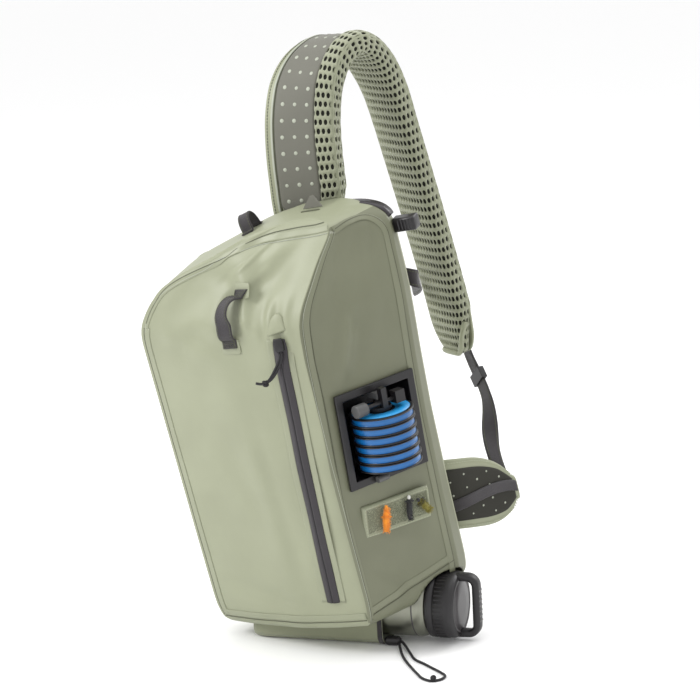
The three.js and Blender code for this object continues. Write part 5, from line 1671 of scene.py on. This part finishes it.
# Flies: across and up as shares of the patch's half sizes, length, radius and turn
FLIES = {
    "fly_orange": (-0.42, 0.0, 27, 3.6, 8), "fly_black": (0.30, 0.12, 24, 3.2, 4),
    "fly_olive": (0.74, 0.0, 20, 3.4, -40),
}
FLY_FIBRES = {"fly_orange": 420, "fly_black": 240, "fly_olive": 420}
FLY_HACKLES = 60
FLY_PAINTS = {"fly_orange": (ORANGE, DARK, "orange_fluff"), "fly_black": (DARK, BEAD, "black_fluff"),
              "fly_olive": (OLIVE, DARK, "olive_fluff")}


def make_fly(node):
    across, up, length, radius, turn = FLIES[node]
    paint, second, slot = FLY_PAINTS[node]
    angle = math.radians(turn)
    way = patch_up * math.cos(angle) + patch_right * math.sin(angle)
    side = unit(np.cross(way, patch_out))
    middle = patch_point(across, up, PATCH_THICK + radius + 0.5)
    random = np.random.default_rng(len(node) * 7 + int(length))
    path = [middle + way * length * (t - 0.5) for t in np.linspace(0, 1, 26)]

    def form(t):
        return round_section(radius * (0.42 + 0.5 * math.sin(math.pi * min(1, t * 1.1)) ** 0.7), 12)
    sweep(node + "_body", tube_places(np.array(path), patch_out), form, paint, replaces=(node,),
          slot=slot)
    head = middle + (way * length * 0.46 if node != "fly_orange" else -way * length * 0.42)
    capsule(node + "_head", 1.6, radius * 0.52, head, way, DARK if node != "fly_black" else BEAD,
            sides=12, slot=slot)
    strands = []
    for _ in range(FLY_FIBRES[node]):
        t = random.uniform(-0.5, 0.42)
        spin = random.uniform(0, 2 * math.pi)
        spoke = side * math.cos(spin) + patch_out * abs(math.sin(spin))
        lean = random.uniform(0.25, 1.1)
        ray = unit(spoke * 1.0 - way * lean)
        spot = middle + way * length * t + spoke * radius * random.uniform(0.5, 0.9)
        cross = unit(np.cross(ray, way))
        strands.append(frame_matrix(spot, cross, ray, np.cross(cross, ray)))
    repeat(node + "_fibres", strands, 0.22, 0.22, radius * 1.5, paint, seed=5, jitter=0.6)
    hackle = []
    for k in range(FLY_HACKLES):
        spin = 2 * math.pi * k / FLY_HACKLES
        spoke = side * math.cos(spin) + patch_out * math.sin(spin)
        if spoke @ patch_out < -0.35:
            continue
        ray = unit(spoke - way * 0.35)
        cross = unit(np.cross(ray, way))
        spot = middle + way * length * (0.34 if node != "fly_orange" else 0.1) + spoke * radius * 0.9
        hackle.append(frame_matrix(spot, cross, ray, np.cross(cross, ray)))
    repeat(node + "_hackle", hackle, 0.2, 0.2, radius * 1.9, second if node == "fly_olive" else paint,
           seed=9, jitter=0.4)


for fly in FLIES:
    make_fly(fly)


# Back panel: a padded board with a bound edge
BOARD_WIDTH = 206.0
BOARD_HEIGHT = 330.0
BOARD_CORNER = 30.0
BOARD_LIFT = 36.0
BOARD_SEAT = HALF_DEPTH + SEAT_GAP
BINDING_INSET = 3.0
BOARD_HOLE_PITCH = 9.0


def make_back_panel():
    half = np.array([BOARD_WIDTH / 2, BOARD_HEIGHT / 2])
    rise = BOARD_HEIGHT / 2 + BOARD_LIFT
    outline = np.array(rounded(BOARD_WIDTH, BOARD_HEIGHT, BOARD_CORNER, 10))
    levels = [(0.0, 0.6), (0.6, 0.0), (4.0, 0.0), (6.5, 1.2), (8.0, 3.6), (7.4, 7.0), (8.4, 10.0),
              (9.0, 16.0), (9.0, 40.0)]
    rings = []
    for deep, inset in levels:
        for x, z in outline * ((half - inset) / half):
            rings.append((x, BOARD_SEAT + deep, z + rise))
    count = len(outline)
    pad = piece("back_board", capped(rings, count), ring_faces(len(levels), count), BAG, [BACK_MESH],
                replaces=("back_panel",), slot="spacer_mesh")
    edge = [(x, BOARD_SEAT + 8.2, z + rise) for x, z in outline * (1 - BINDING_INSET / half)]
    loop = np.array(edge + edge[:1])
    places = tube_places(loop, (0, 1.0, 0))[:-1]
    sweep("back_board_binding", places, round_section(2.2, 10), SAGE, closed=True, slot="coated_fabric")
    dots = []
    for i in range(-10, 11):
        for j in range(-17, 18):
            x, z = (i + (0.5 if j % 2 else 0.0)) * BOARD_HOLE_PITCH, j * BOARD_HOLE_PITCH
            if abs(x) < 88 and abs(z) < 150 and not (abs(x) > 74 and abs(z) > 134):
                spot = np.array([x, BOARD_SEAT + BACK_PAD, z + rise])
                dots.append(frame_matrix(spot, (-1.0, 0, 0), (0, 0, 1.0), (0, 1.0, 0)))
    # the dark discs are painted shade standing in for the back mesh's holes
    repeat("back_board_holes", dots, 3.4, 0.4, 5.0, HOLE_SHADE, shape="dot", jitter=0.15)


BACK_MESH = shade("back_mesh", (0.26, 0.275, 0.19), 0.85, grain=(1500, 0.5), bump=(300, 0.3), tint=0.08,
                  sheen=0.2)
make_back_panel()


# Sleeve: ribbed fabric with an open mouth, dark binding and a pinched wrinkle
SLEEVE_TAPERS = [(0, 0.66), (2, 0.80), (6, 0.91), (12, 0.975), (20, 1.0)]


SLEEVE_RIBS = 46
RIB_DEEP = 0.28
RIBS_FROM = 8
# Wrinkles: place along and angle round the sleeve, their reaches, and depth
SLEEVE_PINCHES = [(98, 9.0, 2.5, 0.16, 1.6), (40, 26.0, 3.6, 0.2, 1.1)]


def sleeve_share(x):
    return float(np.interp(x, [t[0] for t in SLEEVE_TAPERS], [t[1] for t in SLEEVE_TAPERS]))


def sleeve_ring(x, grow, share):
    return [(SLEEVE_LEFT + x, y, z) for y, z in sleeve_section(grow, share)]


def make_sleeve():
    right = SLEEVE_LENGTH
    steps = np.concatenate([np.linspace(0, 20, 15), np.linspace(20.8, right - 1, 150)])
    rings = []
    for x in steps:
        rib = 0.0 if x < RIBS_FROM else RIB_DEEP
        flat = np.array(sleeve_section(0.0, sleeve_share(x)))
        middle = np.array([SLEEVE_Y, SLEEVE_RADIUS])
        reach = unit(flat - middle)
        turn = np.arctan2(flat[:, 1] - middle[1], flat[:, 0] - middle[0])
        wave = rib * np.sin(turn * SLEEVE_RIBS) * (flat[:, 1] > 2.5)
        pinch = 0.0
        for at, reach_along, angle, reach_round, deep in SLEEVE_PINCHES:
            near = np.exp(-((x - at) / reach_along) ** 2)
            pinch = pinch + deep * near * np.exp(-((turn - angle) / reach_round) ** 2)
        pull = 0.5 * np.sin(x * 0.21) * np.sin(turn * 5) * (flat[:, 1] > 6)
        flat = flat - reach * (pinch + 0.35 - wave + 0.25 * pull)[:, None]
        flat[:, 1] = np.maximum(flat[:, 1], 0.0)
        rings.append([(SLEEVE_LEFT + x, y, z) for y, z in flat])
    rings.append(sleeve_ring(right, -0.5, 1.0))
    rings.append(sleeve_ring(right, -SLEEVE_WALL, 1.0))
    for x in np.linspace(right - 2, 22, 30):
        rings.append(sleeve_ring(x, -SLEEVE_WALL, 1.0))
    for x, share in SLEEVE_TAPERS[::-1]:
        rings.append(sleeve_ring(x + SLEEVE_WALL, -SLEEVE_WALL, share))
    count = len(rings[0])
    points = capped(np.array(rings).reshape(-1, 3), count)
    piece("sleeve_knit", points, ring_faces(len(rings), count), ROW, [SLEEVE],
          replaces=("bottle_sleeve",), slot="sleeve_fabric")
    mouth = np.array(sleeve_ring(right - 2.5, -0.1, 1.0))
    keep = mouth[:, 2] > 0.5
    middle = np.array([SLEEVE_LEFT + right - 2.5, SLEEVE_Y, SLEEVE_RADIUS])
    outs = unit(mouth - middle)
    along = np.array([1.0, 0, 0])
    places = [(m - o * (0.2 if k else 1.1), along, o) for m, o, k in zip(mouth, outs, keep)]
    sweep("sleeve_binding", places, flat_section(5.0, 1.0, -0.6, 0.4), WEBBING, ROW, closed=True,
          slot="webbing")


make_sleeve()


# Flask and its lid
BOTTLE_LEFT = SLEEVE_LEFT + 24
LID_X = BOTTLE_LEFT + BOTTLE_LENGTH + 0.3
LID_SIDES = 96


def turned(name, profile, x, materials, sides=LID_SIDES, **more):
    rings = revolve(profile, sides)
    rings = rings + np.array([x, SLEEVE_Y, SLEEVE_RADIUS])
    return piece(name, capped(rings, sides), ring_faces(len(profile), sides), ROW, materials, **more)


def make_bottle():
    radius, inside = BOTTLE_RADIUS, BOTTLE_RADIUS - 2
    arc = [(3.0 - 3.0 * math.cos(a), radius - 7.0 + 5.0 * math.sin(a))
           for a in np.linspace(0, math.pi / 2, 8)]
    long = BOTTLE_LENGTH
    profile = [(0.6, 3.0), (0.6, 18.0), (0.0, 21.0)] + arc
    profile += [(8, radius - 0.9), (14, radius), (60, radius), (110, radius)]
    profile += [(long - 9, radius), (long - 5, radius - 0.7), (long - 1.2, radius - 2.4),
                (long, radius - 3.2), (long, inside - 3), (long - 10, inside), (16, inside),
                (8, inside - 2), (4, 3.0)]
    turned("flask_body", profile, BOTTLE_LEFT, [STEEL], replaces=("bottle_body",), slot="steel")
    fine = [(long - 13.2, radius + 0.02), (long - 12.9, radius + 0.16), (long - 12.1, radius + 0.16),
            (long - 11.8, radius)]
    turned("flask_line", fine, BOTTLE_LEFT, [LID_DISC], slot="steel")


# The lid: the first ring of its disc, its grips, and its handle's section
LID_DISC_FROM = 13
LID_GRIPS = 48
GRIPS_AT = 14.5
HANDLE_HALF_WIDE = 6.4
HANDLE_HALF_THICK = 3.9


def make_lid():
    radius, long = BOTTLE_RADIUS, LID_LENGTH
    profile = [(0.0, 3.0), (0.0, radius - 2), (0.6, radius - 0.7), (2.0, radius), (7.0, radius),
               (7.4, radius - 0.8), (8.4, radius - 0.8), (8.8, radius), (20.0, radius)]
    profile += [(long - 6.5, radius), (long - 4.5, radius - 0.5), (long - 2.0, radius - 1.8),
                (long - 0.5, radius - 4.2), (long - 0.4, radius - 6.0), (long - 1.1, radius - 6.6),
                (long - 1.1, radius - 9.0), (long - 0.2, radius - 9.8), (long, 12.0), (long, 3.0)]
    count = len(profile)
    paint = []
    for i in range(count - 1):
        paint += [1 if i >= LID_DISC_FROM else 0] * LID_SIDES
    paint += [k % 2 for k in range(2 * LID_SIDES)]
    turned("lid_cap", profile, LID_X, [LID, LID_DISC], replaces=("bottle_lid",), slot="lid_plastic",
           face_paint=paint)
    grips = []
    for k in range(LID_GRIPS):
        angle = 2 * math.pi * k / LID_GRIPS
        out = np.array([0, math.cos(angle), math.sin(angle)])
        side = np.cross(out, (1.0, 0, 0))
        middle = np.array([LID_X + GRIPS_AT, SLEEVE_Y, SLEEVE_RADIUS]) + out * (radius - 0.15)
        grips.append(frame_matrix(middle, side, (1.0, 0, 0), out, ROW))
    repeat("lid_grips", grips, 1.5, 0.9, 9.0, LID)
    # the carry handle: a stirrup with rounded corners, swept with a soft oblong section
    half, reach, corner = radius - 4.6, HANDLE_REACH - 4.5, 9.0
    way = [(-9.0, -half)]
    way += [(reach - corner + corner * math.sin(a), -half + corner - corner * math.cos(a))
            for a in np.linspace(0, math.pi / 2, 9)]
    way += [(reach - corner + corner * math.cos(a), half - corner + corner * math.sin(a))
            for a in np.linspace(0, math.pi / 2, 9)]
    way += [(-9.0, half)]
    base = np.array([LID_X + long, SLEEVE_Y, SLEEVE_RADIUS])
    path, _ = spline([base + (x, 0, z) for x, z in way], 90)
    along = ways(path)
    side = np.array([0, 1.0, 0])
    places = [(m, side, unit(np.cross(a, side))) for m, a in zip(path, along)]
    section = []
    for i in range(20):
        angle = 2 * math.pi * i / 20
        c, s = math.cos(angle), math.sin(angle)
        section.append((squared(c, 0.5) * HANDLE_HALF_WIDE, squared(s, 0.6) * HANDLE_HALF_THICK))
    sweep("lid_handle", places, section, [LID], ROW, slot="lid_plastic")
    notches = []
    for k in range(7):
        spot = base + (HANDLE_REACH - 0.75, 0, (k - 3) * 5.2)
        notches.append(frame_matrix(spot, (0, 1.0, 0), (0, 0, 1.0), (1.0, 0, 0), ROW))
    repeat("lid_handle_ribs", notches, 9.5, 0.7, 1.6, LID_DISC)


make_bottle()
make_lid()
